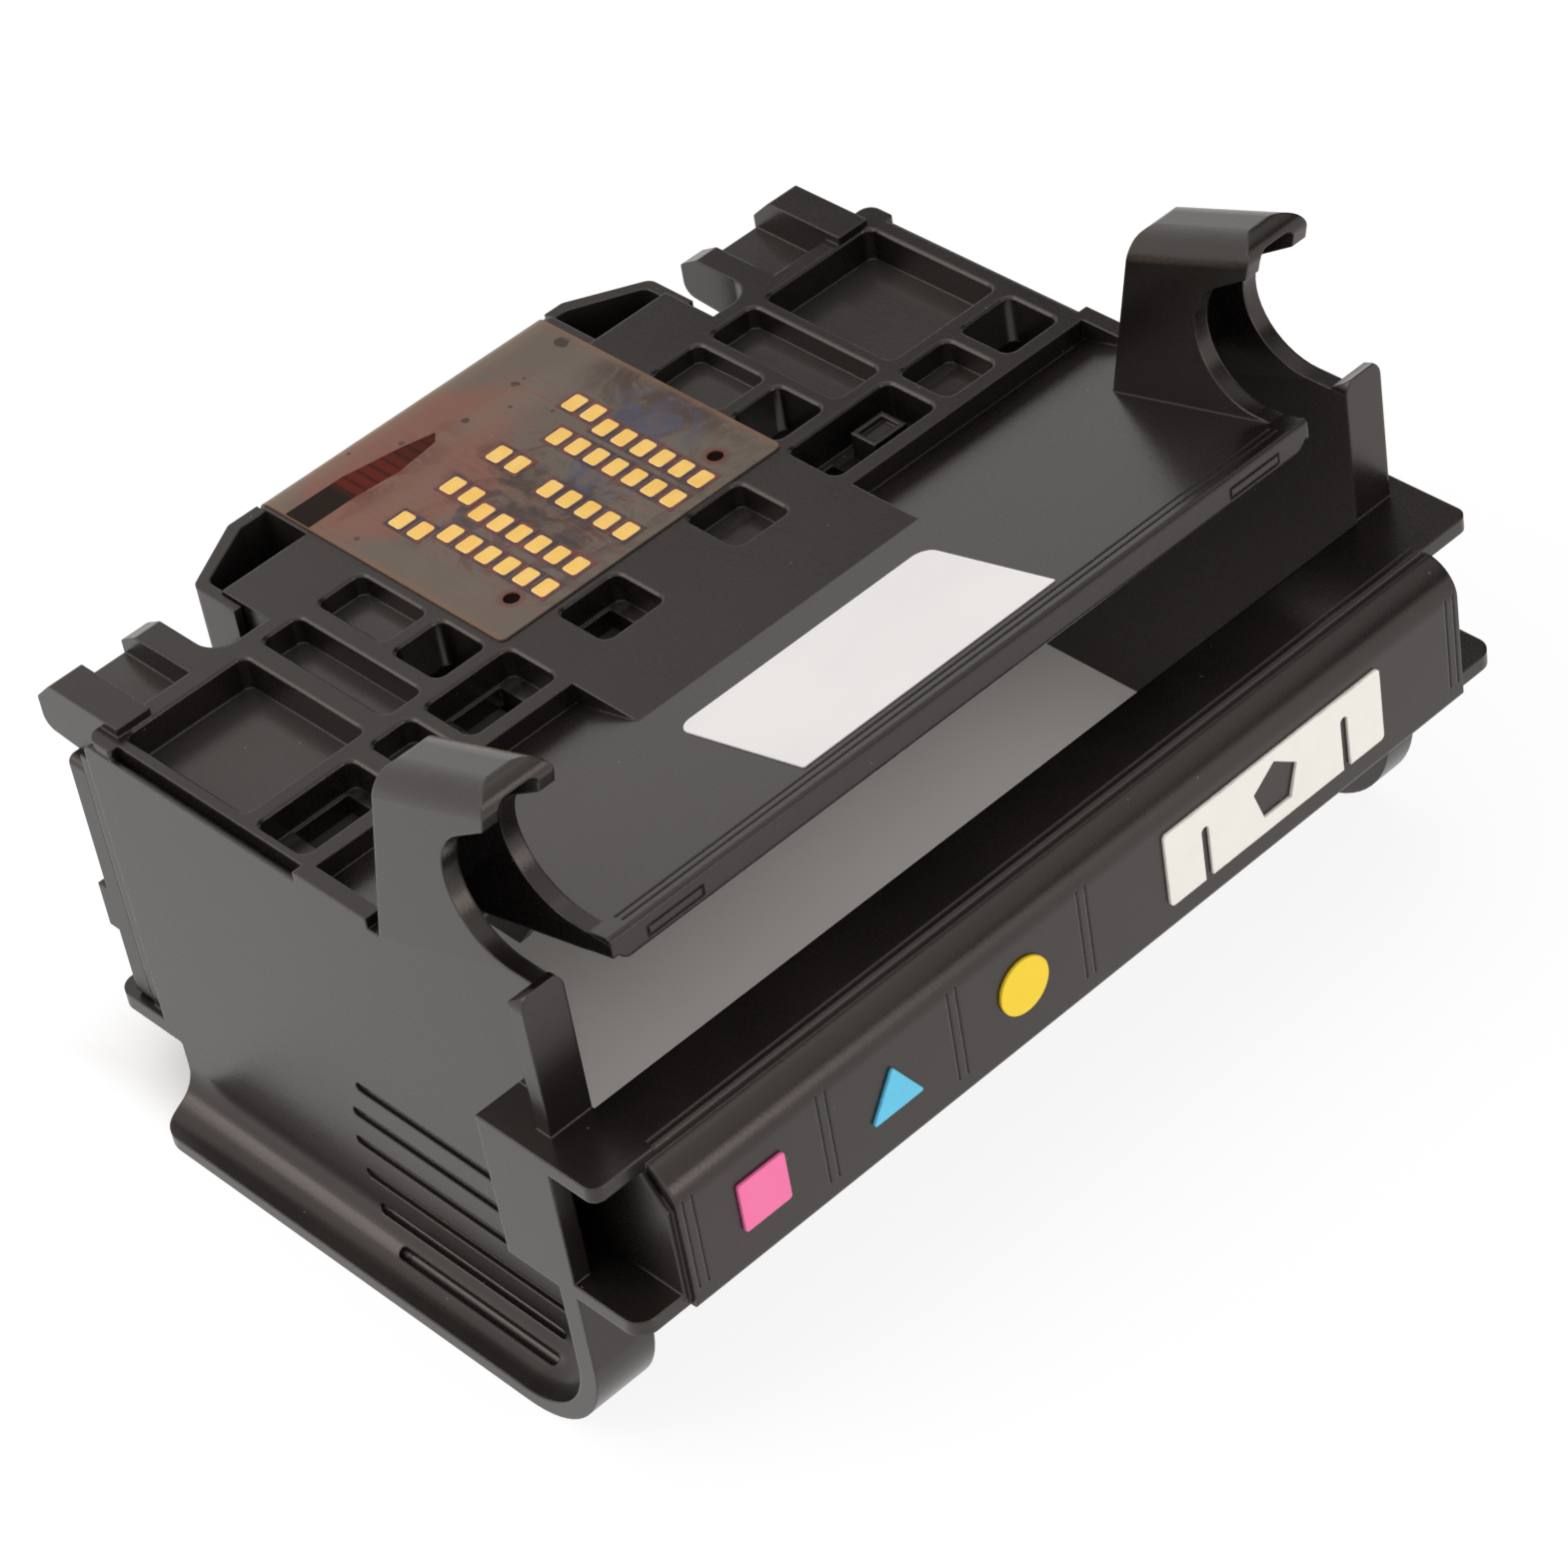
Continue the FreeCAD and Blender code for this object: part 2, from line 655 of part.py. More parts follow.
def hook_cut(x0, x1):
    """Round notch, open to the front, that runs on in a straight line to the arm's tip."""
    centre = FreeCAD.Vector(x0, HOOK_Y, HOOK_Z)
    tip = FreeCAD.Vector(x0, ARM_TIP_Y, ARM_TIP_Z)
    to_tip = tip - centre
    angle = math.atan2(to_tip.z, to_tip.y) - math.acos(HOOK_R / to_tip.Length)
    half_way = (angle - math.pi / 2) / 2
    points = []
    for a in (-math.pi / 2, half_way, angle):
        points.append(centre + FreeCAD.Vector(0, HOOK_R * math.cos(a), HOOK_R * math.sin(a)))
    out_top = FreeCAD.Vector(x0, LIP_FRONT - 2, ARM_TIP_Z)
    out_low = FreeCAD.Vector(x0, LIP_FRONT - 2, HOOK_Z - HOOK_R)
    wire = Part.Wire(
        [
            Part.Arc(points[0], points[1], points[2]).toShape(),
            Part.LineSegment(points[2], tip).toShape(),
            Part.LineSegment(tip, out_top).toShape(),
            Part.LineSegment(out_top, out_low).toShape(),
            Part.LineSegment(out_low, points[0]).toShape(),
        ]
    )
    return Part.Face(wire).extrude(FreeCAD.Vector(x1 - x0, 0, 0))


def arm():
    """Left arm: an inverted channel whose legs are cut by a round hook open to the front."""
    x0 = -WALL_OUT
    x1 = x0 + ARM_WIDTH
    low = BAR_TOP - BAR_WALL / 2
    side = [
        (ARM_BACK, low, 0),
        (ARM_BACK, WALL_TOP, 0),
        (ARM_BACK_TOP, roof_z(ARM_BACK_TOP), ARM_BACK_R),
        (ARM_FRONT, roof_z(ARM_FRONT), ARM_RIDGE_R),
        (ARM_TIP_Y, ARM_TIP_Z, 0),
        (LIP_FRONT, HOOK_Z, 0),
        (LIP_FRONT, low, 0),
    ]
    run = ARM_BACK - LIP_FRONT + 2
    climb = run * ARM_ROOF_SLOPE
    deep = low - ARM_DRAFT_HEIGHT
    shell = prism_y(arch(x0, x1, deep, 0, ARM_ARCH_R), ARM_BACK, ARM_BACK - run, climb)
    outer = prism_x(side, x0, x1).common(shell)
    inside = arch(x0 + WALL, x1 - LEG, deep, ARM_ROOF, ARM_ARCH_R - ARM_ROOF)
    hollow = prism_y(inside, ARM_BACK, ARM_BACK - run, climb)
    back = [
        (ARM_BACK - LEG, deep, 0),
        (ARM_BACK - LEG, WALL_TOP, 0),
        (ARM_BACK_TOP - LEG, roof_z(ARM_BACK_TOP) + 1, 0),
        (LIP_FRONT - 1, roof_z(ARM_FRONT) + 5, 0),
        (LIP_FRONT - 1, deep, 0),
    ]
    room = prism_x(back, x0, x1).common(hollow)
    under = [
        (LIP_FRONT - 1, deep),
        (ARM_BACK + 1, deep),
        (ARM_BACK + 1, ramp_z(ARM_BACK + 1) - RAMP),
        (LIP_FRONT - 1, ramp_z(LIP_FRONT - 1) - RAMP),
    ]
    inner_leg_cut = prism_x(under, x1 - LEG - 0.01, x1 + 1)
    body = outer.cut(room).cut(hook_cut(x0 - 1, x1 + 1)).cut(inner_leg_cut)
    post = prism_y(
        [
            (x0 - POST_OUT, low, 0),
            (x0 - POST_OUT, POST_TOP_Z, POST_R),
            (x0 + WALL, POST_TOP_Z, POST_R),
            (x0 + WALL, low, 0),
        ],
        LIP_FRONT,
        LIP_FRONT + POST_DEEP,
    )
    return [body, post.cut(rod_x(HOOK_Y, HOOK_Z, HOOK_R + POST_GAP, x0 - POST_OUT - 1, x1))]


# Marked bar


def bar():
    """Channel across the front, open to the back, with ribs at the bay edges."""
    top = BAR_TOP
    w = BAR_WALL
    r = BAR_SHOULDER_R
    section = [
        (0, BAR_BOTTOM, 0.5),
        (0, top - BAR_SHOULDER_DROP, r),
        (BAR_FLANGE_FRONT, top - BAR_SHOULDER_DROP, 0),
        (BAR_FLANGE_FRONT, top, 0.3),
        (BAR_FLANGE_BACK, top, 0.3),
        (BAR_FLANGE_BACK, top - w, 0),
        (w, top - w, r - w * 0.4),
        (w, BAR_BOTTOM + w, 0.3),
        (FIN_FRONT + w, BAR_BOTTOM + w, 0),
        (FIN_FRONT + w, BAR_BOTTOM, 0),
    ]
    channel = prism_x(section, -WALL_OUT + 0.6, WALL_OUT - 0.6)
    wing = prism_z(
        [
            (-FIN_OUT, BAR_FLANGE_FRONT, 1.2),
            (-FIN_OUT, PANEL_BACK, 0.6),
            (-WALL_OUT + WALL, PANEL_BACK, 0),
            (-WALL_OUT + WALL, BAR_FLANGE_FRONT, 0),
        ],
        top - w,
        top,
    )
    floor = prism_z(
        [
            (-FIN_OUT, BAR_FLOOR_FRONT, 1.8),
            (-FIN_OUT, PANEL_BACK, 0),
            (-WALL_OUT + WALL, PANEL_BACK, 0),
            (-WALL_OUT + WALL, BAR_FLOOR_FRONT, 0),
        ],
        BAR_BOTTOM,
        BAR_BOTTOM + w,
    )
    ribs = []
    for x in BAY_EDGES[1:-1]:
        ribs.append(
            box(x - BAR_RIB / 2, x + BAR_RIB / 2, w / 2, FIN_FRONT, BAR_BOTTOM + w / 2, top - w - r / 2)
        )
    return [channel] + both_sides([wing, floor]) + ribs


def bar_lines():
    """Fine lines: a pair up the bar's face at every bay edge and one along its flange."""
    d = BAR_LINE_DEEP
    top = BAR_TOP - BAR_SHOULDER_DROP - d
    core = prism_x(
        [
            (d, BAR_BOTTOM - 1, 0),
            (d, top, BAR_SHOULDER_R - d),
            (FIN_FRONT, top, 0),
            (FIN_FRONT, BAR_BOTTOM - 1, 0),
        ],
        -FIN_OUT,
        FIN_OUT,
    )
    lines = []
    for edge in BAY_EDGES:
        for x in (edge - BAR_RIB / 2, edge + BAR_RIB / 2):
            block = box(x - BAR_LINE / 2, x + BAR_LINE / 2, -1, 2, BAR_LINE_Z[0], BAR_LINE_Z[1])
            lines.append(block.cut(core))
    y = BAR_FLANGE_FRONT + BAR_EDGE_LINE
    lines.append(box(BAY_EDGES[0], BAY_EDGES[-1], y, y + BAR_LINE, BAR_TOP - d, BAR_TOP + 1))
    return lines


# Bays, towers and the rear frame


def bay_walls():
    """Bay floor with its towers, and the partitions between the bays."""
    half = WALL_OUT - WALL + 0.2
    floor = box(-half, half, BAY_FLOOR_Y, BAY_FLOOR_Y + BAY_FLOOR, BAY_FLOOR_Z, PLATE_LOW + 1)
    walls = [floor]
    for x in BAY_EDGES[1:-1]:
        corners = [
            (BAY_FLOOR_Y + 0.5, BAY_FLOOR_Z),
            (BAY_FLOOR_Y + 0.5, PLATE_LOW + 0.5),
            (PLATE_FRONT, PLATE_LOW + 0.5),
            (DIVIDER_TOP_Y, ramp_z(DIVIDER_TOP_Y) - RAMP),
            (DIVIDER_LOW_Y, BAY_FLOOR_Z),
        ]
        walls.append(prism_x(corners, x - DIVIDER / 2, x + DIVIDER / 2))
    for i in range(len(BAYS)):
        x = bay_mid(i)
        back = BAY_FLOOR_Y + 0.5
        walls.append(rod_y(x, TOWER_Z, TOWER_R, BAY_FLOOR_Y - TOWER_HEIGHT, back))
        walls.append(rod_y(x, TOWER_Z, TOWER_FOOT_R, BAY_FLOOR_Y - TOWER_FOOT, back))
    return walls


def tower_bores():
    """Ink passages through the towers and the bay floor, with the screen seats."""
    cuts = []
    for i in range(len(BAYS)):
        x = bay_mid(i)
        top = BAY_FLOOR_Y - TOWER_HEIGHT
        cuts.append(rod_y(x, TOWER_Z, TOWER_BORE_R, top - 1, BAY_FLOOR_Y + BAY_FLOOR + 1))
        cuts.append(rod_y(x, TOWER_Z, TOWER_R - SCREEN_SEAT, top - 1, top + SCREEN))
    return cuts


def rear_frame():
    """Frame behind the bay floor that holds the manifold, and the foot flange below it."""
    y0 = BAY_FLOOR_Y + BAY_FLOOR - 0.2
    outer = box(-FRAME_HALF, FRAME_HALF, y0, FRAME_BACK, FOOT_TOP - FOOT, PLATE_LOW + 1)
    foot = prism_z(
        [
            (-WALL_OUT, BAY_FLOOR_Y, 0),
            (WALL_OUT, BAY_FLOOR_Y, 0),
            (WALL_OUT, FOOT_BACK, FOOT_CORNER_R),
            (-WALL_OUT, FOOT_BACK, FOOT_CORNER_R),
        ],
        FOOT_TOP - FOOT,
        FOOT_TOP,
    )
    return [outer, foot]


def manifold_room():
    """Where the manifold and gasket sit: x half width, front y, back y, low z, high z."""
    y0 = BAY_FLOOR_Y + BAY_FLOOR
    return FRAME_HALF - FRAME_RIM, y0, FRAME_BACK, FOOT_TOP + 2.8, PLATE_LOW - 2.6


def prongs(edges):
    """Ledge between a tall outer and a low inner prong with sloped tips, at one back corner."""
    pairs = ((edges[0], edges[1]), (edges[2], edges[3]))
    (outer0, outer1), (inner0, inner1) = sorted(pairs, key=lambda pair: -abs(sum(pair)))
    x0 = min(edges)
    x1 = max(edges)
    section = [
        (PLATE_BACK - 1, LEDGE_TOP, 0),
        (PRONG_BACK, LEDGE_TOP, 0.3),
        (PRONG_BACK, LEDGE_TOP - LEDGE_PLATE, 1.4),
        (FRAME_BACK, LEDGE_TOP - LEDGE_PLATE - 0.5, 0),
        (FRAME_BACK - 0.5, PLATE_LOW - 0.5, 0),
        (PLATE_BACK - 1, PLATE_LOW, 0),
    ]
    ledge = prism_x(section, x0, x1)
    uprights = []
    for a, b, rise in ((outer0, outer1, PRONG_RISE), (inner0, inner1, 0)):
        front = PLATE_BACK - 2 * PRONG_RISE
        side = [
            (front, PLATE_TOP + rise, 0),
            (PRONG_BACK - PRONG_SLOPE, PLATE_TOP + rise, 0.5),
            (PRONG_BACK, PRONG_TIP_Z, 0.5),
            (PRONG_BACK, LEDGE_TOP - 0.5, 0),
            (front, LEDGE_TOP - 0.5, 0),
        ]
        uprights.append(prism_x(side, a, b))
    return [ledge] + uprights


def gap_blends():
    """Hollow fillets where the inner prongs and the tongue meet the plate's back edge."""
    blends = []
    r = PRONG_HOLLOW_R
    for x, sign in ((PRONGS_LEFT[3], 1), (PRONGS_RIGHT[0], -1)):
        low = LEDGE_TOP - LEDGE_PLATE
        block = box(min(x, x + sign * r), max(x, x + sign * r), PLATE_BACK - 0.1, PLATE_BACK + r, low, PLATE_TOP)
        core = Part.makeCylinder(r, 20, FreeCAD.Vector(x + sign * r, PLATE_BACK + r, low - 1))
        blends.append(block.cut(core))
    return blends


def cradle_body():
    """The black moulding that everything else is fixed to."""
    solids = both_sides([wall_with_fin()] + end_panel() + arm())
    solids += contact_plate() + ramp() + bar() + bay_walls() + rear_frame()
    solids += prongs(PRONGS_LEFT) + prongs(PRONGS_RIGHT) + gap_blends()
    body = fuse(solids)
    half, y0, y1, z0, z1 = manifold_room()
    cuts = plate_cuts() + lip_lines() + bar_lines() + tower_bores() + both_sides([edge_groove()])
    grooves = finger_grooves()
    cuts += grooves + [mirrored(g) for g in grooves[:-1]] + [right_fin_cut()]
    cuts.append(box(-half, half, y0, y1 + 1, z0, z1))
    body = body.cut(Part.makeCompound(cuts))
    return fuse([body, window_boss()])


# Manifold, gasket, snout and nozzle parts


def slot_xs():
    """Where each bay's ink slot lies on the nozzle face, in bay order."""
    colours = [COLOUR_DIE_X + k * COLOUR_SLOT_PITCH for k in (-1, 0, 1)]
    return colours + [BLACK_DIE_X]


def slot_mid_z():
    """Middle of the dies."""
    return (CARRIER_Z[0] + CARRIER_Z[1]) / 2


def run_z(i):
    """Height of the channel that leads a bay's ink across to its slot."""
    return TOWER_Z + (3 - min(i, 2)) * 3 * CHANNEL


def ink_manifold():
    """Plate with a channel on its back face from each tower to its ink slot."""
    half, y0, y1, z0, z1 = manifold_room()
    g = MANIFOLD_GAP
    y_back = y1 - GASKET
    plate = box(-half + g, half - g, y0, y_back, z0 + g, z1 - g)
    cuts = []
    c = CHANNEL / 2
    for i, x_slot in enumerate(slot_xs()):
        x = bay_mid(i)
        z_run = run_z(i)
        cuts.append(rod_y(x, TOWER_Z, TOWER_BORE_R, y0 - 1, y_back + 1))
        y_cut = y_back - CHANNEL_DEEP
        cuts.append(box(x - c, x + c, y_cut, y_back + 1, TOWER_Z - c, z_run + c))
        cuts.append(box(min(x, x_slot) - c, max(x, x_slot) + c, y_cut, y_back + 1, z_run - c, z_run + c))
    return plate.cut(Part.makeCompound(cuts))


def ink_slots(width, y0, y1):
    """The four ink slots as cutting boxes."""
    mid = slot_mid_z()
    long = INK_SLOT_LONG / 2
    return [box(x - width / 2, x + width / 2, y0, y1, mid - long, mid + long) for x in slot_xs()]


def manifold_gasket():
    """Thin sheet between the manifold and the snout, with a window for each ink."""
    half, y0, y1, z0, z1 = manifold_room()
    g = MANIFOLD_GAP
    sheet = box(-half + g, half - g, y1 - GASKET, y1, z0 + g, z1 - g)
    windows = []
    for i, x in enumerate(slot_xs()):
        low = run_z(i) - CHANNEL / 2
        x0 = x - INK_SLOT / 2
        windows.append(box(x0, x0 + INK_SLOT, y1 - GASKET - 1, y1 + 1, low, low + CHANNEL))
    return sheet.cut(Part.makeCompound(windows))


def snout_plan(grow):
    """Plan outline of the snout, moved inwards by grow."""
    g = grow
    return [
        (SNOUT_MID - SNOUT_HALF + g, FRAME_BACK, 0),
        (SNOUT_MID - SNOUT_HALF + g, SNOUT_SHOULDER - g / 2, 1.2),
        (SNOUT_MID - SNOUT_BACK_HALF + g / 2, SNOUT_BACK - g, 0.8),
        (SNOUT_MID + SNOUT_BACK_HALF - g / 2, SNOUT_BACK - g, 0.8),
        (SNOUT_MID + SNOUT_HALF - g, SNOUT_SHOULDER - g / 2, 1.2),
        (SNOUT_MID + SNOUT_HALF - g, FRAME_BACK, 0),
    ]


def nozzle_snout():
    """Snout moulding with its base plate, rim, end pockets, carrier seat and ink slots."""
    base_top = LEDGE_TOP - LEDGE_PLATE - 0.8
    base = prism_y(
        rectangle(-SNOUT_BASE_HALF, SNOUT_BASE_HALF, FOOT_TOP, base_top, 0.8),
        FRAME_BACK,
        FRAME_BACK + SNOUT_BASE,
    )
    body = prism_z(snout_plan(0.0), FOOT_TOP, SNOUT_RIM_TOP)
    core = box(-SNOUT_CORE_HALF, SNOUT_CORE_HALF, TONGUE_BACK, SNOUT_BACK, PLATE_LOW, PLATE_TOP)
    nose = core.makeFillet(SNOUT_NOSE_R, [e for e in core.Edges if is_nose_edge(e)])
    tabs = []
    for sign in (-1, 1):
        x = sign * (SNOUT_BASE_HALF - TAB_WIDTH / 2)
        y0 = FRAME_BACK + SNOUT_BASE - 0.2
        tabs.append(box(x - TAB_WIDTH / 2, x + TAB_WIDTH / 2, y0, y0 + TAB_DEEP, TAB_Z[0], TAB_Z[1]))
    above = box(-SNOUT_CORE_HALF, SNOUT_CORE_HALF, FRAME_BACK, SNOUT_BACK + 1, PLATE_LOW, PLATE_TOP + 1)
    body = body.cut(above)
    solid = fuse([base, body, nose] + tabs)
    g = SNOUT_TONGUE_GAP
    x0 = TONGUE_LEFT - g
    x1 = TONGUE_RIGHT + g
    tongue = box(x0, x1, FRAME_BACK - 1, TONGUE_BACK, PLATE_LOW, PLATE_TOP + 1)
    inner = prism_z(snout_plan(SNOUT_RIM), SNOUT_POCKET_Z, PLATE_TOP + 1)
    front = TONGUE_BACK
    left = box(-FIN_OUT, -SNOUT_CORE_HALF, front, SNOUT_BACK, SNOUT_POCKET_Z, PLATE_TOP + 1)
    right = box(SNOUT_CORE_HALF, FIN_OUT, front, SNOUT_BACK, SNOUT_POCKET_Z, PLATE_TOP + 1)
    seat = box(
        -CARRIER_HALF - CARRIER_GAP,
        CARRIER_HALF + CARRIER_GAP,
        SNOUT_BACK - CARRIER,
        SNOUT_BACK + 1,
        CARRIER_Z[0] - CARRIER_GAP,
        CARRIER_Z[1] + CARRIER_GAP,
    )
    cuts = [tongue, inner.common(left), inner.common(right), seat]
    cuts += ink_slots(INK_SLOT, FRAME_BACK - 1, SNOUT_BACK)
    return solid.cut(Part.makeCompound(cuts))


def is_nose_edge(edge):
    """The long top edge at the back of the snout's core, where the film folds over."""
    box_of = edge.BoundBox
    at_back = box_of.YMin > SNOUT_BACK - 0.01
    at_top = box_of.ZMin > PLATE_TOP - 0.01
    return at_back and at_top


def die_box(x, width, gap):
    """Block of a die, grown by gap, reaching from its seat to the nozzle face."""
    mid = slot_mid_z()
    long = DIE_LONG / 2 + gap
    y0 = SNOUT_BACK - DIE_THICK
    return box(x - width / 2 - gap, x + width / 2 + gap, y0, SNOUT_BACK, mid - long, mid + long)


def die_carrier():
    """Flat plate with a seat and ink slots for each die."""
    plate = box(-CARRIER_HALF, CARRIER_HALF, SNOUT_BACK - CARRIER, SNOUT_BACK, CARRIER_Z[0], CARRIER_Z[1])
    cuts = [
        die_box(BLACK_DIE_X, BLACK_DIE_WIDTH, DIE_GAP),
        die_box(COLOUR_DIE_X, COLOUR_DIE_WIDTH, DIE_GAP),
    ]
    cuts += ink_slots(INK_SLOT, SNOUT_BACK - CARRIER - 1, SNOUT_BACK)
    return plate.cut(Part.makeCompound(cuts))


def nozzle_die(x, width, slots):
    """Die with a feed slot in its back for each ink."""
    die = die_box(x, width, 0.0)
    mid = slot_mid_z()
    feeds = []
    for x_slot in slots:
        half = INK_SLOT / 4
        y0 = SNOUT_BACK - DIE_THICK
        long = INK_SLOT_LONG / 2
        feeds.append(box(x_slot - half, x_slot + half, y0, y0 + DIE_THICK / 2, mid - long, mid + long))
    return die.cut(Part.makeCompound(feeds))


def die_encapsulant():
    """Resin beads over the bond wires at both ends of each die."""
    beads = []
    mid = slot_mid_z()
    y = SNOUT_BACK + FLEX
    for x, width in ((BLACK_DIE_X, BLACK_DIE_WIDTH), (COLOUR_DIE_X, COLOUR_DIE_WIDTH)):
        for sign in (-1, 1):
            z = mid + sign * (DIE_LONG / 2 + FLEX_WINDOW_GAP + BEAD_R)
            sink = BEAD_R - BEAD_RISE
            bead = Part.makeCylinder(
                BEAD_R, width, FreeCAD.Vector(x - width / 2, y - sink, z), FreeCAD.Vector(1, 0, 0)
            )
            beads.append(bead.common(box(x - width, x + width, y, y + BEAD_R, z - BEAD_R, z + BEAD_R)))
    return Part.makeCompound(beads)


def flex_circuit():
    """Film that lies on the contact face, folds over the snout and covers the nozzle face."""
    r = SNOUT_NOSE_R
    section = [
        (FLEX_FRONT, PLATE_TOP, 0),
        (SNOUT_BACK, PLATE_TOP, r),
        (SNOUT_BACK, FLEX_END_Z, 0),
        (SNOUT_BACK + FLEX, FLEX_END_Z, 0),
        (SNOUT_BACK + FLEX, PLATE_TOP + FLEX, r + FLEX),
        (FLEX_FRONT, PLATE_TOP + FLEX, 0),
    ]
    x0 = FLEX_MID - FLEX_HALF
    x1 = FLEX_MID + FLEX_HALF
    film = prism_x(section, x0, x1)
    c = FLEX_CORNER_R
    plan = prism_z(
        [(x0, FLEX_FRONT, c), (x1, FLEX_FRONT, c), (x1, SNOUT_BACK + 5, 0), (x0, SNOUT_BACK + 5, 0)],
        0,
        PLATE_TOP + 5,
    )
    film = film.common(plan)
    cuts = []
    for x in FLEX_HOLES:
        cuts.append(Part.makeCylinder(FLEX_HOLE_R, 3, FreeCAD.Vector(x, FLEX_HOLE_Y, PLATE_TOP - 1)))
    mid = slot_mid_z()
    g = FLEX_WINDOW_GAP
    for x, width in ((BLACK_DIE_X, BLACK_DIE_WIDTH), (COLOUR_DIE_X, COLOUR_DIE_WIDTH)):
        half = width / 2 + g
        long = DIE_LONG / 2 + g
        cuts.append(box(x - half, x + half, SNOUT_BACK - 1, SNOUT_BACK + 2, mid - long, mid + long))
    return film.cut(Part.makeCompound(cuts))


def contact_pads():
    """Gold pads in six staggered columns."""
    pads = []
    z0 = PLATE_TOP + FLEX
    for (x_front, x_back), (first, last, split) in zip(PAD_COLUMN_X, PAD_COLUMN_ROWS):
        for row in range(first, last + 1):
            x = x_back if row >= split else x_front
            y = PAD_FIRST_Y + row * PAD_PITCH
            corners = rectangle(x - PAD_X / 2, x + PAD_X / 2, y - PAD_Y / 2, y + PAD_Y / 2, PAD_CORNER_R)
            pads.append(prism_z(corners, z0, z0 + PAD))
    return Part.makeCompound(pads)


# Pieces in the bays


def filter_screen(i):
    """Round filter in the mouth of a tower."""
    top = BAY_FLOOR_Y - TOWER_HEIGHT
    return rod_y(bay_mid(i), TOWER_Z, TOWER_R - SCREEN_SEAT, top, top + SCREEN)


def tower_seal(i):
    """Rubber ring round the foot of a tower."""
    x = bay_mid(i)
    y0 = BAY_FLOOR_Y - SEAL
    bore = TOWER_FOOT_R + SEAL_CLEARANCE
    ring = rod_y(x, TOWER_Z, bore + SEAL_RING, y0, BAY_FLOOR_Y)
    ring = ring.cut(rod_y(x, TOWER_Z, bore, y0 - 1, BAY_FLOOR_Y + 1))
    outer = [e for e in ring.Edges if is_seal_lip(e, y0)]
    return ring.makeFillet(SEAL_RING / 3, outer)


def is_seal_lip(edge, y0):
    """The two round edges of a seal's free face."""
    return edge.BoundBox.YMax < y0 + 0.01


def contact_block(i):
    """Block under the plate that carries a bay's chip contacts."""
    x = bay_mid(i)
    half = BLOCK_WIDTH / 2
    block = prism_z(
        rectangle(x - half, x + half, BLOCK_FRONT, BLOCK_BACK, 0.6),
        PLATE_LOW - BLOCK,
        PLATE_LOW,
    )
    return block


def contact_springs(i):
    """Bowed spring strips on a contact block."""
    x = bay_mid(i)
    z = PLATE_LOW - BLOCK
    mid = (BLOCK_FRONT + BLOCK_BACK) / 2
    half = (BLOCK_BACK - BLOCK_FRONT) / 2 - 1.0
    rise = SPRING_RISE
    radius = (half ** 2 + rise ** 2) / (2 * rise)
    strips = []
    for k in range(SPRINGS):
        x0 = x + (k - (SPRINGS - 1) / 2) * SPRING_PITCH - SPRING_WIDTH / 2
        centre = z + radius - rise
        outer = rod_x(mid, centre, radius, x0, x0 + SPRING_WIDTH)
        inner = rod_x(mid, centre, radius - SPRING_STRIP, x0, x0 + SPRING_WIDTH)
        strips.append(outer.cut(inner).common(box(x0, x0 + SPRING_WIDTH, mid - half, mid + half, z - rise, z)))
    return Part.makeCompound(strips)


# Marks and label


def mark(corners, cuts=()):
    """Thin raised plate on the bar's front face, from (x, z) corners."""
    plate = prism_y(corners, -MARK, 0)
    for cut in cuts:
        plate = plate.cut(cut)
    return plate


def magenta_square():
    """Square mark of the first bay."""
    x = bay_mid(0)
    h = SQUARE / 2
    return mark(rectangle(x - h, x + h, MARK_MID_Z - h, MARK_MID_Z + h, SQUARE_CORNER_R))


def cyan_triangle():
    """Triangular mark of the second bay."""
    x = bay_mid(1)
    low = MARK_MID_Z - TRIANGLE_HIGH / 2
    w = TRIANGLE_WIDE / 2
    return mark([(x - w, low, 0.2), (x + w, low, 0.2), (x, low + TRIANGLE_HIGH, 0.2)])


def yellow_circle():
    """Round mark of the third bay."""
    return rod_y(bay_mid(2), MARK_MID_Z, DISC_R, -MARK, 0)


def white_mark_plate():
    """Wide white mark of the last bay with a pentagon and two slots."""
    x = bay_mid(3)
    w = BADGE_WIDE / 2
    h = BADGE_HIGH / 2
    low = MARK_MID_Z - h
    cuts = []
    for sign in (-1, 1):
        slot = x + sign * BADGE_SLOT_X
        half = BADGE_SLOT_WIDE / 2
        corners = rectangle(slot - half, slot + half, low - 2, low + BADGE_SLOT_TOP, half * 0.98)
        cuts.append(prism_y(corners, -MARK - 1, 1))
    points = []
    for k in range(5):
        a = math.radians(90 + 72 * k)
        points.append((x + PENTAGON_R * math.cos(a), MARK_MID_Z + PENTAGON_R * math.sin(a), 0))
    cuts.append(prism_y(points, -MARK - 1, 1))
    return mark(rectangle(x - w, x + w, low, low + BADGE_HIGH, 0.5), cuts)


def blank_label():
    """Blank sticker on the ramp with its two back corners rounded."""
    front = LABEL_BACK - LABEL_LONG * math.cos(math.atan(RAMP_SLOPE))
    plan = prism_z(
        [
            (LABEL_X[0], front, 0.2),
            (LABEL_X[1], front, 0.2),
            (LABEL_X[1], LABEL_BACK, LABEL_CORNER_R),
            (LABEL_X[0], LABEL_BACK, LABEL_CORNER_R),
        ],
        0,
        LIP_TOP + 10,
    )
    sheet = [
        (front - 1, ramp_z(front - 1)),
        (LABEL_BACK + 1, ramp_z(LABEL_BACK + 1)),
        (LABEL_BACK + 1, ramp_z(LABEL_BACK + 1) + LABEL),
        (front - 1, ramp_z(front - 1) + LABEL),
    ]
    return prism_x(sheet, LABEL_X[0] - 1, LABEL_X[1] + 1).common(plan)


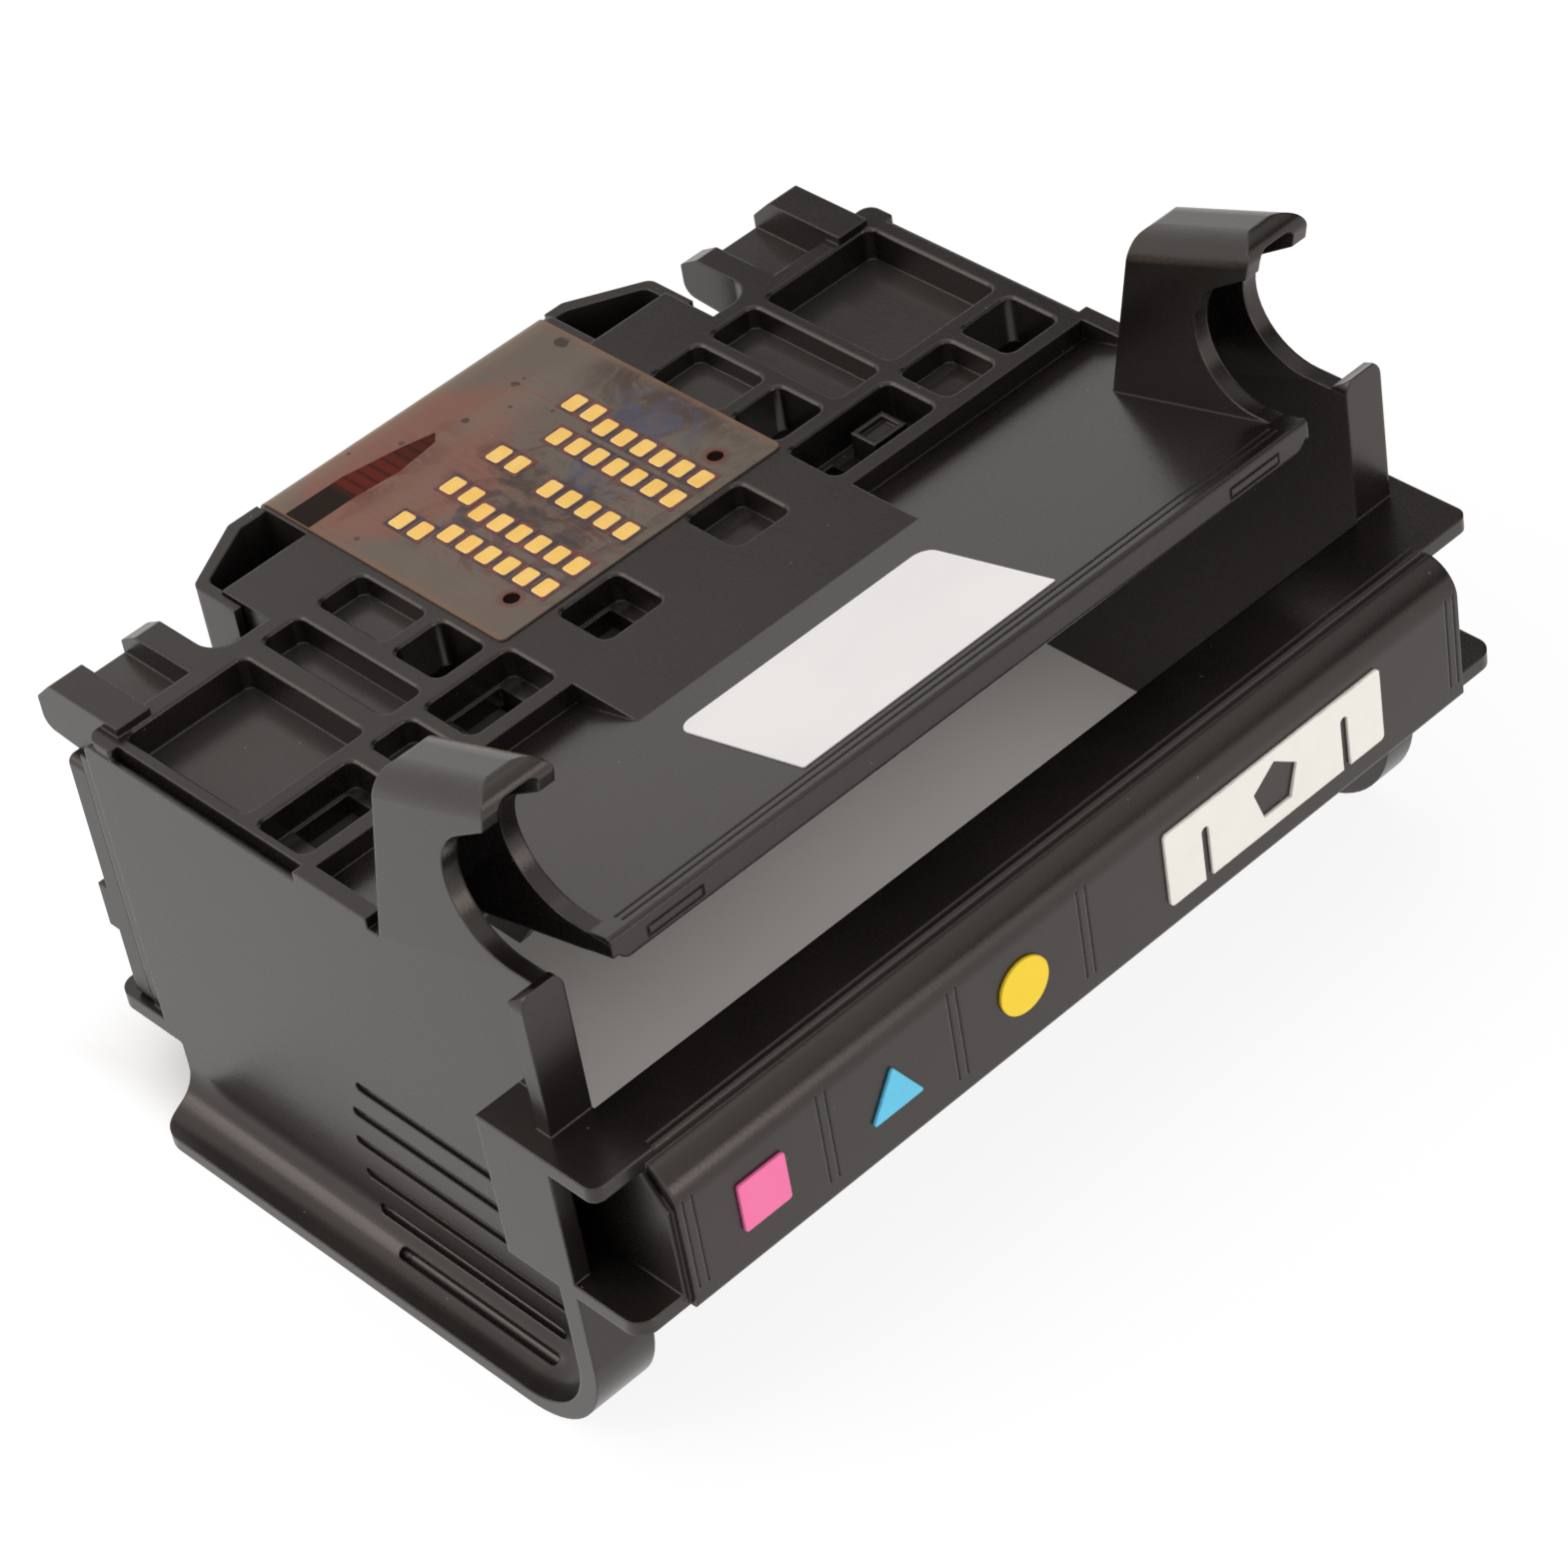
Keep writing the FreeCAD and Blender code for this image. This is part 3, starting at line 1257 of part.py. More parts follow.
def export(name, shape):
    """Moves a node to the part's origin and writes it."""
    shape = shape.copy()
    shape.translate(FreeCAD.Vector(0, (MARK - TOTAL_DEPTH) / 2, 0))
    if not shape.isValid():
        print("not valid:", name)
    size = shape.BoundBox
    spans = [round(v, 2) for v in (size.XLength, size.YLength, size.ZLength)]
    print(name, "solids", len(shape.Solids), "volume", round(shape.Volume, 2), "size", spans)
    shape.exportStep("parts/" + name + ".step")


def main():
    """Builds every node and writes it."""
    os.makedirs("parts", exist_ok=True)
    slots = slot_xs()
    nodes = {
        "cradle_body": cradle_body(),
        "nozzle_snout": nozzle_snout(),
        "ink_manifold": ink_manifold(),
        "manifold_gasket": manifold_gasket(),
        "die_carrier": die_carrier(),
        "black_nozzle_die": nozzle_die(BLACK_DIE_X, BLACK_DIE_WIDTH, slots[3:]),
        "colour_nozzle_die": nozzle_die(COLOUR_DIE_X, COLOUR_DIE_WIDTH, slots[:3]),
        "die_encapsulant": die_encapsulant(),
        "flex_circuit": flex_circuit(),
        "contact_pads": contact_pads(),
        "magenta_square": magenta_square(),
        "cyan_triangle": cyan_triangle(),
        "yellow_circle": yellow_circle(),
        "white_mark_plate": white_mark_plate(),
        "blank_label": blank_label(),
    }
    for i, name in enumerate(BAY_NAMES):
        nodes["filter_screen_" + name] = filter_screen(i)
        nodes["tower_seal_" + name] = tower_seal(i)
        nodes["contact_block_" + name] = contact_block(i)
        nodes["contact_springs_" + name] = contact_springs(i)
    for name, shape in nodes.items():
        export(name, shape)


main()
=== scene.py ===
import json

import bmesh
import bpy
from mathutils import Matrix, Vector


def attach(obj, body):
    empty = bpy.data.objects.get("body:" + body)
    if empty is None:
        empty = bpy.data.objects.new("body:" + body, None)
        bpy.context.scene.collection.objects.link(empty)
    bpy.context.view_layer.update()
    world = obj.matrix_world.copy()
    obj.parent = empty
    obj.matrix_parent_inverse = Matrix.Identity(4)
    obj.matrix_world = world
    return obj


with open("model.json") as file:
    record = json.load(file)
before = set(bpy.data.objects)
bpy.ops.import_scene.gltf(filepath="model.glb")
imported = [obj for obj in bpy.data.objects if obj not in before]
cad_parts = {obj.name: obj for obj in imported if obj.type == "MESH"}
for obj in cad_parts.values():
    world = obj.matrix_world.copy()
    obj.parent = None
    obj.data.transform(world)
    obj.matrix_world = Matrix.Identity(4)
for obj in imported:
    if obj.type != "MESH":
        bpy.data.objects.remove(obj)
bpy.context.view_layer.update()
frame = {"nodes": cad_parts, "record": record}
nodes = frame["nodes"]

# Sizes shared with the solids, in metres
FILM_TOP = 0.04387
FILM_MID = -0.0003
FILM_HALF = 0.0169
FOLD = 0.0422
HOLES = ((-0.0127, 0.0128), (0.0119, 0.0128))
HOLE_R = 0.00078
HOLE_DEPTH = 0.00017
PAD_FIRST_Y = 0.01138
PAD_PITCH = 0.00253

# Each column of pads: x of the front ones, x of the last two, first row, last row, row of the step
PAD_COLUMNS = (
    (0.0088, 0.00965, 0, 7, 6),
    (0.0054, 0.0054, 0, 6, 7),
    (0.00038, 0.00038, 6, 7, 8),
    (-0.00028, -0.00028, 0, 4, 8),
    (-0.00625, -0.0052, 0, 7, 6),
    (-0.00995, -0.0113, 0, 7, 6),
)

# Limits of the contact plate's pocket floors, which get painted light
POCKET_HIGH = 0.0432
POCKET_LOW = 0.0360
POCKET_FRONT = 0.0065
POCKET_SIDE = 0.0460

# Ink slots of the dies and the nozzles beside them
DIE_SLOTS = (-0.0098, -0.0076, -0.0054, 0.0076)
DIE_MID_Z = 0.0263
NOZZLE_ROWS_HALF = 0.0102
NOZZLE_OFFSET = 0.0006
NOZZLE_PITCH = 0.00034
NOZZLE_HALF_LONG = 0.00007
NOZZLE_HALF_WIDE = 0.00008


class Signal:
    """A node's output that can be used in sums."""

    def __init__(self, owner, socket):
        self.owner = owner
        self.socket = socket

    def worked(self, operation, first, second=0.0):
        return self.owner.node("ShaderNodeMath", {"operation": operation}, {0: first, 1: second})

    def __add__(self, other):
        return self.worked("ADD", self, other)

    def __radd__(self, other):
        return self.worked("ADD", other, self)

    def __sub__(self, other):
        return self.worked("SUBTRACT", self, other)

    def __rsub__(self, other):
        return self.worked("SUBTRACT", other, self)

    def __mul__(self, other):
        return self.worked("MULTIPLY", self, other)

    def __rmul__(self, other):
        return self.worked("MULTIPLY", other, self)

    def __gt__(self, other):
        return self.worked("GREATER_THAN", self, other)

    def __lt__(self, other):
        return self.worked("LESS_THAN", self, other)

    def __abs__(self):
        return self.worked("ABSOLUTE", self)

    def largest(self, other):
        return self.worked("MAXIMUM", self, other)

    def wrapped(self, step):
        return self.worked("MODULO", self, step)


class Shading:
    """The nodes of a material or of the world, with one shader that they feed."""

    def __init__(self, tree, shader):
        self.tree = tree
        self.shader = tree.nodes[shader]

    def feed(self, socket, value):
        if isinstance(value, Signal):
            self.tree.links.new(value.socket, socket)
        else:
            socket.default_value = value

    def give(self, socket, value):
        """Sets one socket of the shader itself."""
        self.feed(self.shader.inputs[socket], value)

    def node(self, kind, settings=None, values=None, output=0):
        """Adds a node: its settings first, then the values or links of its sockets."""
        made = self.tree.nodes.new(kind)
        for name, value in (settings or {}).items():
            setattr(made, name, value)
        for name, value in (values or {}).items():
            self.feed(made.inputs[name], value)
        return Signal(self, made.outputs[output])

    def seen_directly(self):
        """1 for what the camera sees, in the open or in gloss and glass, 0 for the light that falls."""
        rays = ("Is Camera Ray", "Is Glossy Ray", "Is Transmission Ray")
        open_view, gloss, glass = (self.node("ShaderNodeLightPath", output=ray) for ray in rays)
        return open_view.largest(gloss).largest(glass)


class Finish(Shading):
    """A material together with the nodes that give it its look."""

    def __init__(self, name, colour, roughness, metallic=0.0):
        self.material = bpy.data.materials.new(name)
        self.material.use_nodes = True
        super().__init__(self.material.node_tree, "Principled BSDF")
        self.give("Base Color", (*colour, 1.0))
        self.give("Roughness", roughness)
        self.give("Metallic", metallic)
        self.place = self.node("ShaderNodeTexCoord", output="Object")

    def stretched(self, x, y, z, turn=0.0):
        """The place on the piece, stretched along each axis and turned about the vertical."""
        values = {"Vector": self.place, "Scale": (x, y, z), "Rotation": (0, 0, turn)}
        return self.node("ShaderNodeMapping", None, values)

    def noise(self, per_metre, detail=2.0, rough=0.5, where=None, twist=0.0):
        values = {
            "Vector": where or self.place,
            "Scale": per_metre,
            "Detail": detail,
            "Roughness": rough,
            "Distortion": twist,
        }
        return self.node("ShaderNodeTexNoise", None, values)

    def cells(self, per_metre, output="Distance"):
        values = {"Vector": self.place, "Scale": per_metre}
        return self.node("ShaderNodeTexVoronoi", None, values, output)

    def along(self, axis):
        return self.node("ShaderNodeSeparateXYZ", None, {0: self.place}, axis)

    def between(self, value, low, high):
        """0 below low, 1 above high, smooth between them."""
        settings = {"interpolation_type": "SMOOTHSTEP"}
        values = {"Value": value, "From Min": low, "From Max": high}
        return self.node("ShaderNodeMapRange", settings, values)

    def blend(self, factor, under, over):
        """One colour over another."""
        under = under if isinstance(under, Signal) else (*under, 1.0)
        over = over if isinstance(over, Signal) else (*over, 1.0)
        return self.node("ShaderNodeMix", {"data_type": "RGBA"}, {0: factor, 6: under, 7: over}, 2)

    def softened(self, radius):
        """The surface's direction with its sharp edges rounded."""
        return self.node("ShaderNodeBevel", {"samples": 6}, {"Radius": radius})

    def edge(self, radius):
        """1 close to a sharp edge, 0 on flat ground."""
        flat = self.node("ShaderNodeNewGeometry", output="Normal")
        soft = self.softened(radius)
        product = {"operation": "DOT_PRODUCT"}
        facing = self.node("ShaderNodeVectorMath", product, {0: flat, 1: soft}, "Value")
        return self.between(1 - facing, 0.004, 0.10)

    def corner(self, reach):
        """1 in the open, 0 deep in a hollow corner."""
        light = self.node("ShaderNodeAmbientOcclusion", {"samples": 4}, {"Distance": reach}, "AO")
        return self.between(light, 0.60, 0.86)

    def painted_light_pocket_floor(self):
        """1 on the level floors of the contact plate's pockets, where light is painted."""
        normal = self.node("ShaderNodeNewGeometry", output="Normal")
        upward = self.node("ShaderNodeSeparateXYZ", None, {0: normal}, 2)
        z = self.along(2)
        below = self.between(z, POCKET_HIGH, POCKET_HIGH - 0.0006)
        above = self.between(z, POCKET_LOW, POCKET_LOW + 0.002)
        behind = self.between(self.along(1), POCKET_FRONT, POCKET_FRONT + 0.0007)
        inside = self.between(abs(self.along(0)), POCKET_SIDE, POCKET_SIDE - 0.0005)
        return below * above * behind * inside * self.between(upward, 0.90, 0.97)

    def bump(self, height, strength, depth, normal=None):
        values = {"Height": height, "Strength": strength, "Distance": depth}
        if normal is not None:
            values["Normal"] = normal
        return self.node("ShaderNodeBump", None, values)


def specks(finish, per_metre, share, size):
    """Scattered dots: dust or tiny chips."""
    near = finish.cells(per_metre)
    pick = finish.cells(per_metre, "Color")
    chosen = finish.node("ShaderNodeSeparateColor", None, {0: pick}, 0) > 1 - share
    return (near < size) * chosen


def moulded(name, colour, roughness, grain=1.0, dusty=True):
    """Black spark-textured moulding with worn edges, faint flow marks, dust and painted light on the
    pocket floors.
    """
    made = Finish(name, colour, roughness)
    patch = made.noise(55, 3, 0.55)
    fine = made.noise(2600, 2, 0.6)
    scuff = made.noise(1, 4, 0.6, made.stretched(90, 900, 300, 0.6))
    edge = made.edge(0.0003) * made.corner(0.0012)
    lighter = tuple(c * 1.6 for c in colour)
    worn = tuple(c * 2.5 + 0.016 for c in colour)
    base = made.blend(made.between(patch, 0.35, 0.7), colour, lighter)
    base = made.blend(edge * made.between(patch + scuff * 0.5, 0.40, 0.95) * 0.68, base, worn)
    base = made.blend(made.between(scuff, 0.66, 0.74) * 0.10, base, worn)
    # Painted light: the pocket floors are lightened, standing in for light reaching into them
    base = made.blend(made.painted_light_pocket_floor() * 0.6, base, (0.036, 0.033, 0.031))
    if dusty:
        base = made.blend(specks(made, 900, 0.035, 0.09) * 0.45, base, (0.20, 0.19, 0.18))
        base = made.blend(specks(made, 260, 0.02, 0.035) * 0.6, base, (0.34, 0.32, 0.30))
    made.give("Base Color", base)
    made.give("Roughness", roughness + (patch - 0.5) * 0.10 - edge * 0.06 + (fine - 0.5) * 0.08)
    made.give("Normal", made.bump(fine + patch * 0.4, 0.08 * grain, 0.00010, made.softened(0.0003)))
    made.give("Specular IOR Level", 0.58)
    made.give("Specular Tint", (1.0, 0.87, 0.82, 1.0))
    return made.material


def coloured_mark(name, colour, worn, chip):
    """Printed plate with a soft gloss, tiny chips and dulled edges."""
    made = Finish(name, colour, 0.4)
    cloud = made.noise(300, 3, 0.6)
    edge = made.edge(0.0002)
    base = made.blend(made.between(cloud, 0.3, 0.75) * 0.35, colour, worn)
    base = made.blend(edge * made.between(cloud, 0.5, 0.7) * 0.6, base, chip)
    base = made.blend(specks(made, 900, 0.03, 0.16) * 0.7, base, chip)
    made.give("Base Color", base)
    made.give("Roughness", 0.36 + cloud * 0.16)
    relief = cloud + made.noise(1800, 1) * 0.5
    made.give("Normal", made.bump(relief, 0.12, 0.00008, made.softened(0.0002)))
    return made.material


# Oval patches on the film: middle x and y, half width and half length
PATCHES = {
    "red tint and reflection": (-0.0060, 0.0345, 0.0125, 0.0085),
    "ember": (-0.0075, 0.0355, 0.0085, 0.0028),
    "red spots": (-0.0018, 0.0293, 0.0036, 0.0026),
    "side grime": (0.0140, 0.0240, 0.0035, 0.0080),
    "middle grime": (-0.0015, 0.0215, 0.0035, 0.0070),
    "crust": (0.0151, 0.0225, 0.0016, 0.0090),
    "side ink": (0.0124, 0.0213, 0.0034, 0.0056),
    "middle ink": (0.0031, 0.0190, 0.0024, 0.0036),
    "strokes": (-0.0020, 0.0185, 0.0060, 0.0065),
}

# Ground colour of the film, over copper
FILM_GREY = (0.104, 0.081, 0.0635)

# Dark flecks on the film: x, y and half size
FLECKS = (
    (0.0153, 0.0371, 0.00085),
    (0.0083, 0.0358, 0.0005),
    (0.0019, 0.0355, 0.00045),
)
THREAD_X = (0.0085, -0.0025, -0.0125)
THREAD_HALF = 0.00013
TRACK_PITCH = 0.00092
HOLE_RING = 0.0013


class Film(Finish):
    """Amber film over copper, built up from its ground colour to the dust on it."""

    def __init__(self):
        super().__init__("flex_film", FILM_GREY, 0.3)
        self.x = self.along(0)
        self.y = self.along(1)
        self.blot = self.noise(190, 6, 0.7, None, 1.6)
        self.smear = self.noise(1, 4, 0.62, self.stretched(420, 90, 90), 0.4)
        self.wobble = self.noise(1, 2, 0.5, self.stretched(520, 26, 1))

    def oval(self, at_x, at_y, half_x, half_y):
        """1 in the middle of an oval patch, fading to 0 beyond its rim."""
        across = (self.x - at_x) * (1 / half_x)
        along = (self.y - at_y) * (1 / half_y)
        return self.between(across * across + along * along, 1.6, 0.2)

    def patch(self, name):
        return self.oval(*PATCHES[name])

    def ground(self):
        """Olive grey with a red tint that is partly a painted reflection, embers and paler areas."""
        cloud = self.noise(1, 4, 0.6, self.stretched(90, 42, 85), 0.8)
        # The red tint is partly the film's own colour and partly a painted reflection
        red = self.between(self.patch("red tint and reflection") * 0.42 + cloud, 0.58, 0.86)
        base = self.blend(red * 0.9, FILM_GREY, (0.175, 0.066, 0.043))
        ember = self.patch("ember") * self.between(self.blot + self.smear * 0.5, 0.62, 0.86)
        spots = self.patch("red spots") * self.between(self.blot, 0.42, 0.56)
        base = self.blend((ember + spots) * 0.8, base, (0.080, 0.014, 0.007))
        pale = self.between(self.noise(1, 3, 0.5, self.stretched(60, 130, 60)), 0.5, 0.72)
        return self.blend(pale * 0.40, base, (0.135, 0.112, 0.088))

    def tracks(self):
        """1 on the fine copper tracks, where they show through."""
        lane = abs((self.x + 0.05).wrapped(TRACK_PITCH) - TRACK_PITCH / 2)
        return self.between(lane, 0.00011, 0.00003) * self.between(self.wobble, 0.46, 0.60)

    def stain(self, field):
        """1 on the dark blots of a field."""
        return self.between(self.blot + self.smear * 0.35, 0.62, 0.82) * field

    def soiled(self, base, field):
        """Ink and grease round the pads."""
        base = self.blend(self.stain(field) * 0.8, base, (0.030, 0.022, 0.025))
        ring = self.between(abs(self.blot - 0.56), 0.035, 0.008) * field
        base = self.blend(ring * 0.5, base, (0.10, 0.018, 0.014))
        grime = self.patch("side grime") + self.patch("middle grime")
        grime = grime * self.between(self.blot, 0.34, 0.58)
        base = self.blend(grime * 0.75, base, (0.036, 0.022, 0.014))
        crust = self.patch("crust") * self.between(self.blot, 0.36, 0.52)
        base = self.blend(crust * 0.8, base, (0.034, 0.014, 0.009))
        ink = self.patch("side ink") + self.patch("middle ink")
        blue_cloud = self.between(self.noise(330, 5, 0.65, None, 1.1), 0.40, 0.60)
        base = self.blend(ink * blue_cloud * 0.8, base, (0.044, 0.050, 0.088))
        scratch = self.noise(1, 3, 0.6, self.stretched(2600, 260, 1, 0.55))
        strokes = self.patch("strokes") * self.between(scratch, 0.57, 0.64)
        base = self.blend(strokes * 0.7, base, (0.020, 0.016, 0.016))
        corner = self.between(self.y, 0.0185, 0.012) * self.between(self.x, 0.004, 0.011)
        corner = corner * self.between(self.blot, 0.38, 0.62)
        return self.blend(corner * 0.6, base, (0.055, 0.040, 0.022))

    def marked(self, base):
        """Red threads, flecks, the rings round the holes, the film's edges and a painted highlight
        along its fold.
        """
        for at_x in THREAD_X:
            line = self.between(abs(self.x - at_x), THREAD_HALF, 0.00005)
            line = line * self.between(self.wobble, 0.30, 0.42)
            base = self.blend(line * 0.6, base, (0.19, 0.045, 0.026))
        torn = self.noise(1300, 4, 0.7)
        for at_x, at_y, half in FLECKS:
            fleck = self.between(self.oval(at_x, at_y, half, half) + (torn - 0.5) * 3.2, 0.50, 0.80)
            around = self.oval(at_x, at_y, half * 1.4, half * 1.4)
            base = self.blend(fleck * around * 0.9, base, (0.022, 0.009, 0.006))
        for at_x, at_y in HOLES:
            ring = self.oval(at_x, at_y, HOLE_RING, HOLE_RING)
            base = self.blend(ring * 0.8, base, (0.11, 0.024, 0.016))
        side = self.between(abs(self.x - FILM_MID), FILM_HALF - 0.0007, FILM_HALF - 0.0002)
        base = self.blend(side * 0.5, base, (0.18, 0.080, 0.035))
        # Painted highlight: the fold's crest lightened to pale gold
        fold = self.between(self.y, FOLD - 0.0030, FOLD - 0.0008)
        return self.blend(fold * 0.5, base, (0.20, 0.135, 0.085))


def film():
    """The flex circuit's film, with its stains, tracks and dust."""
    made = Film()
    tracks = made.tracks()
    shown = tracks * made.between(made.y, 0.0102, 0.012)
    base = made.blend(shown * 0.5, made.ground(), (0.19, 0.045, 0.026))
    near_pads = made.between(abs(made.y - 0.0195), 0.0135, 0.006)
    field = near_pads * made.between(abs(made.x), 0.0150, 0.0095)
    base = made.marked(made.soiled(base, field))
    base = made.blend(specks(made, 520, 0.07, 0.16) * 0.8, base, (0.022, 0.010, 0.008))
    base = made.blend(specks(made, 1100, 0.02, 0.10) * 0.4, base, (0.30, 0.25, 0.21))
    made.give("Base Color", base)
    uneven = made.between(made.blot, 0.3, 0.8)
    made.give("Roughness", 0.32 + made.stain(field) * 0.25 + uneven * 0.16)
    ripple = made.noise(1, 3, 0.5, made.stretched(110, 60, 60))
    made.give("Normal", made.bump(ripple + tracks * 0.05 + made.blot * 0.14, 0.35, 0.00035))
    made.give("Coat Weight", 0.12)
    made.give("Coat Roughness", 0.14)
    made.give("Specular Tint", (1.0, 0.84, 0.72, 1.0))
    return made.material


def tuck_film():
    """The film where nothing backs it: painted shade of the gap below, with a painted glow of red light
    coming through and bars across.
    """
    made = Finish("film_over_gap", (0.03, 0.016, 0.012), 0.3)
    x = made.along(0)
    # Painted light: a red glow through the film from the left, fading towards the tip, over painted
    # shade
    lit = made.between(x, -0.0124, -0.0110)
    tip = made.between(x, -0.0066, -0.0048) * 0.4
    pitch = 0.0013
    bars = made.between(abs((x + 0.05).wrapped(pitch) - pitch / 2), 0.0003, 0.0001)
    glow = (lit - tip) * (1 - bars * 0.6)
    base = made.blend(glow, (0.011, 0.005, 0.002), (0.095, 0.010, 0.004))
    made.give("Base Color", base)
    made.give("Roughness", 0.34 + made.noise(240, 3) * 0.12)
    made.give("Normal", made.bump(made.noise(130, 3), 0.3, 0.0003))
    made.give("Specular IOR Level", 0.09)
    return made.material


def hole_depth():
    """Painted shade: the unlit bottom of the film's locating holes."""
    made = Finish("hole_depth", (0.006, 0.003, 0.0025), 0.8)
    made.give("Base Color", made.blend(made.noise(900), (0.004, 0.002, 0.002), (0.010, 0.004, 0.003)))
    made.give("Specular IOR Level", 0.05)
    return made.material


def pad_rim():
    """Dark red edge of the film's openings round the pads."""
    made = Finish("pad_rim", (0.075, 0.022, 0.024), 0.32)
    cloud = made.noise(420, 4, 0.6, None, 0.8)
    base = made.blend(made.between(cloud, 0.38, 0.62), (0.045, 0.018, 0.028), (0.15, 0.035, 0.024))
    made.give("Base Color", base)
    made.give("Roughness", 0.26 + cloud * 0.2)
    made.give("Normal", made.bump(cloud, 0.3, 0.0001, made.softened(0.0001)))
    return made.material


def gold(name, colour):
    """Soft gold plating with brush marks and a painted highlight along its rim."""
    made = Finish(name, colour, 0.36, 0.45)
    rub = made.noise(1, 3, 0.6, made.stretched(500, 2600, 500, 0.4))
    cloud = made.noise(650, 3, 0.5)
    base = made.blend(made.between(cloud, 0.35, 0.7) * 0.5, colour, (0.98, 0.66, 0.22))
    base = made.blend(made.between(rub, 0.60, 0.72) * 0.30, base, (0.62, 0.36, 0.10))
    # Painted highlight: paler gold along the pad edges
    base = made.blend(made.edge(0.00012) * 0.6, base, (1.0, 0.86, 0.55))
    made.give("Base Color", base)
    made.give("Roughness", 0.30 + cloud * 0.18)
    made.give("Normal", made.bump(rub + cloud, 0.10, 0.00006, made.softened(0.00012)))
    return made.material


def label_paper():
    """Blank coated paper, a little uneven, with soft patches of painted shade and darker along its
    edges.
    """
    made = Finish("label_paper", (0.80, 0.775, 0.765), 0.55)
    fibre = made.noise(1400, 4, 0.7)
    cloud = made.noise(70, 2)
    # Painted shade: soft greyer patches across the paper
    painted_soft_shade = made.between(cloud, 0.35, 0.7) * 0.6
    base = made.blend(painted_soft_shade, (0.80, 0.775, 0.765), (0.755, 0.735, 0.735))
    base = made.blend(made.edge(0.00012) * 0.4, base, (0.55, 0.53, 0.52))
    made.give("Base Color", base)
    made.give("Roughness", 0.48 + fibre * 0.14)
    made.give("Normal", made.bump(fibre + cloud * 2.0, 0.10, 0.00008))
    return made.material


def silicon():
    """Polished die with its two rows of nozzles beside each slot, the nozzle holes painted dark as
    shade.
    """
    made = Finish("die_silicon", (0.09, 0.085, 0.10), 0.2, 0.2)
    x = made.along(0)
    z = made.along(2)
    hole = abs((z + 0.05).wrapped(NOZZLE_PITCH) - NOZZLE_PITCH / 2) < NOZZLE_HALF_LONG
    hole = hole * (abs(z - DIE_MID_Z) < NOZZLE_ROWS_HALF)
    rows = None
    for slot in DIE_SLOTS:
        beside = abs(abs(x - slot) - NOZZLE_OFFSET) < NOZZLE_HALF_WIDE
        rows = beside if rows is None else rows.largest(beside)
    cloud = made.noise(240, 3)
    base = made.blend(made.between(cloud, 0.3, 0.7), (0.085, 0.08, 0.095), (0.12, 0.105, 0.12))
    # Painted shade: the nozzle holes are painted near black
    base = made.blend(rows * hole, base, (0.008, 0.008, 0.008))
    made.give("Base Color", base)
    made.give("Roughness", 0.16 + cloud * 0.12)
    made.give("Normal", made.bump(1 - rows * hole, 0.4, 0.00005))
    return made.material


def ceramic():
    """Ground carrier with fine speckle."""
    made = Finish("carrier_ceramic", (0.72, 0.70, 0.66), 0.6)
    fine = made.noise(2200, 3, 0.7)
    cloud = made.noise(120, 2)
    base = made.blend(made.between(fine, 0.35, 0.7) * 0.4, (0.74, 0.72, 0.68), (0.60, 0.58, 0.55))
    made.give("Base Color", made.blend(cloud * 0.2, base, (0.5, 0.46, 0.40)))
    made.give("Roughness", 0.55 + fine * 0.15)
    made.give("Normal", made.bump(fine, 0.2, 0.00006, made.softened(0.00025)))
    return made.material


def woven_steel():
    """Fine filter mesh, with painted shade in the gaps between its wires."""
    made = Finish("screen_steel", (0.45, 0.45, 0.44), 0.35, 0.9)
    x = made.along(0)
    z = made.along(2)
    pitch = 0.00024
    warp = abs((x + 0.1).wrapped(pitch) - pitch / 2)
    weft = abs((z + 0.1).wrapped(pitch) - pitch / 2)
    wires = made.between(warp, 0.00010, 0.00004).largest(made.between(weft, 0.00010, 0.00004))
    cloud = made.noise(900, 2)
    lit = made.blend(cloud, (0.50, 0.50, 0.48), (0.36, 0.36, 0.35))
    # Painted shade: the gaps between the wires are near black
    made.give("Base Color", made.blend(wires, (0.03, 0.03, 0.03), lit))
    made.give("Roughness", 0.3 + cloud * 0.15)
    made.give("Normal", made.bump(wires, 0.6, 0.00008))
    return made.material


def soft_rubber():
    """Soft black seal rubber with a faint bloom."""
    made = Finish("seal_rubber", (0.03, 0.03, 0.032), 0.7)
    bloom = made.noise(380, 4, 0.6)
    base = made.blend(made.between(bloom, 0.4, 0.75) * 0.6, (0.022, 0.022, 0.024), (0.07, 0.07, 0.072))
    made.give("Base Color", base)
    made.give("Roughness", 0.62 + bloom * 0.2)
    relief = bloom + made.noise(2500, 1) * 0.4
    made.give("Normal", made.bump(relief, 0.2, 0.0001, made.softened(0.0003)))
    return made.material


def resin():
    """Glossy dark resin bead."""
    made = Finish("resin", (0.05, 0.045, 0.04), 0.18)
    flow = made.noise(500, 2)
    made.give("Base Color", made.blend(flow, (0.04, 0.034, 0.03), (0.075, 0.062, 0.05)))
    made.give("Roughness", 0.12 + flow * 0.14)
    made.give("Normal", made.bump(flow, 0.3, 0.0001))
    return made.material


finishes = {
    "cradle_plastic": moulded("cradle_plastic", (0.0062, 0.0051, 0.0045), 0.27),
    "snout_plastic": moulded("snout_plastic", (0.0080, 0.0066, 0.0059), 0.33),
    "manifold_plastic": moulded("manifold_plastic", (0.055, 0.055, 0.057), 0.40, 0.5, False),
    "block_plastic": moulded("block_plastic", (0.012, 0.012, 0.0122), 0.38, 0.6, False),
    "seal_rubber": soft_rubber(),
    "carrier_ceramic": ceramic(),
    "die_silicon": silicon(),
    "resin": resin(),
    "flex_film": film(),
    "pad_gold": gold("pad_gold", (0.95, 0.58, 0.13)),
    "spring_gold": gold("spring_gold", (0.90, 0.58, 0.20)),
    "label_paper": label_paper(),
    "screen_steel": woven_steel(),
}

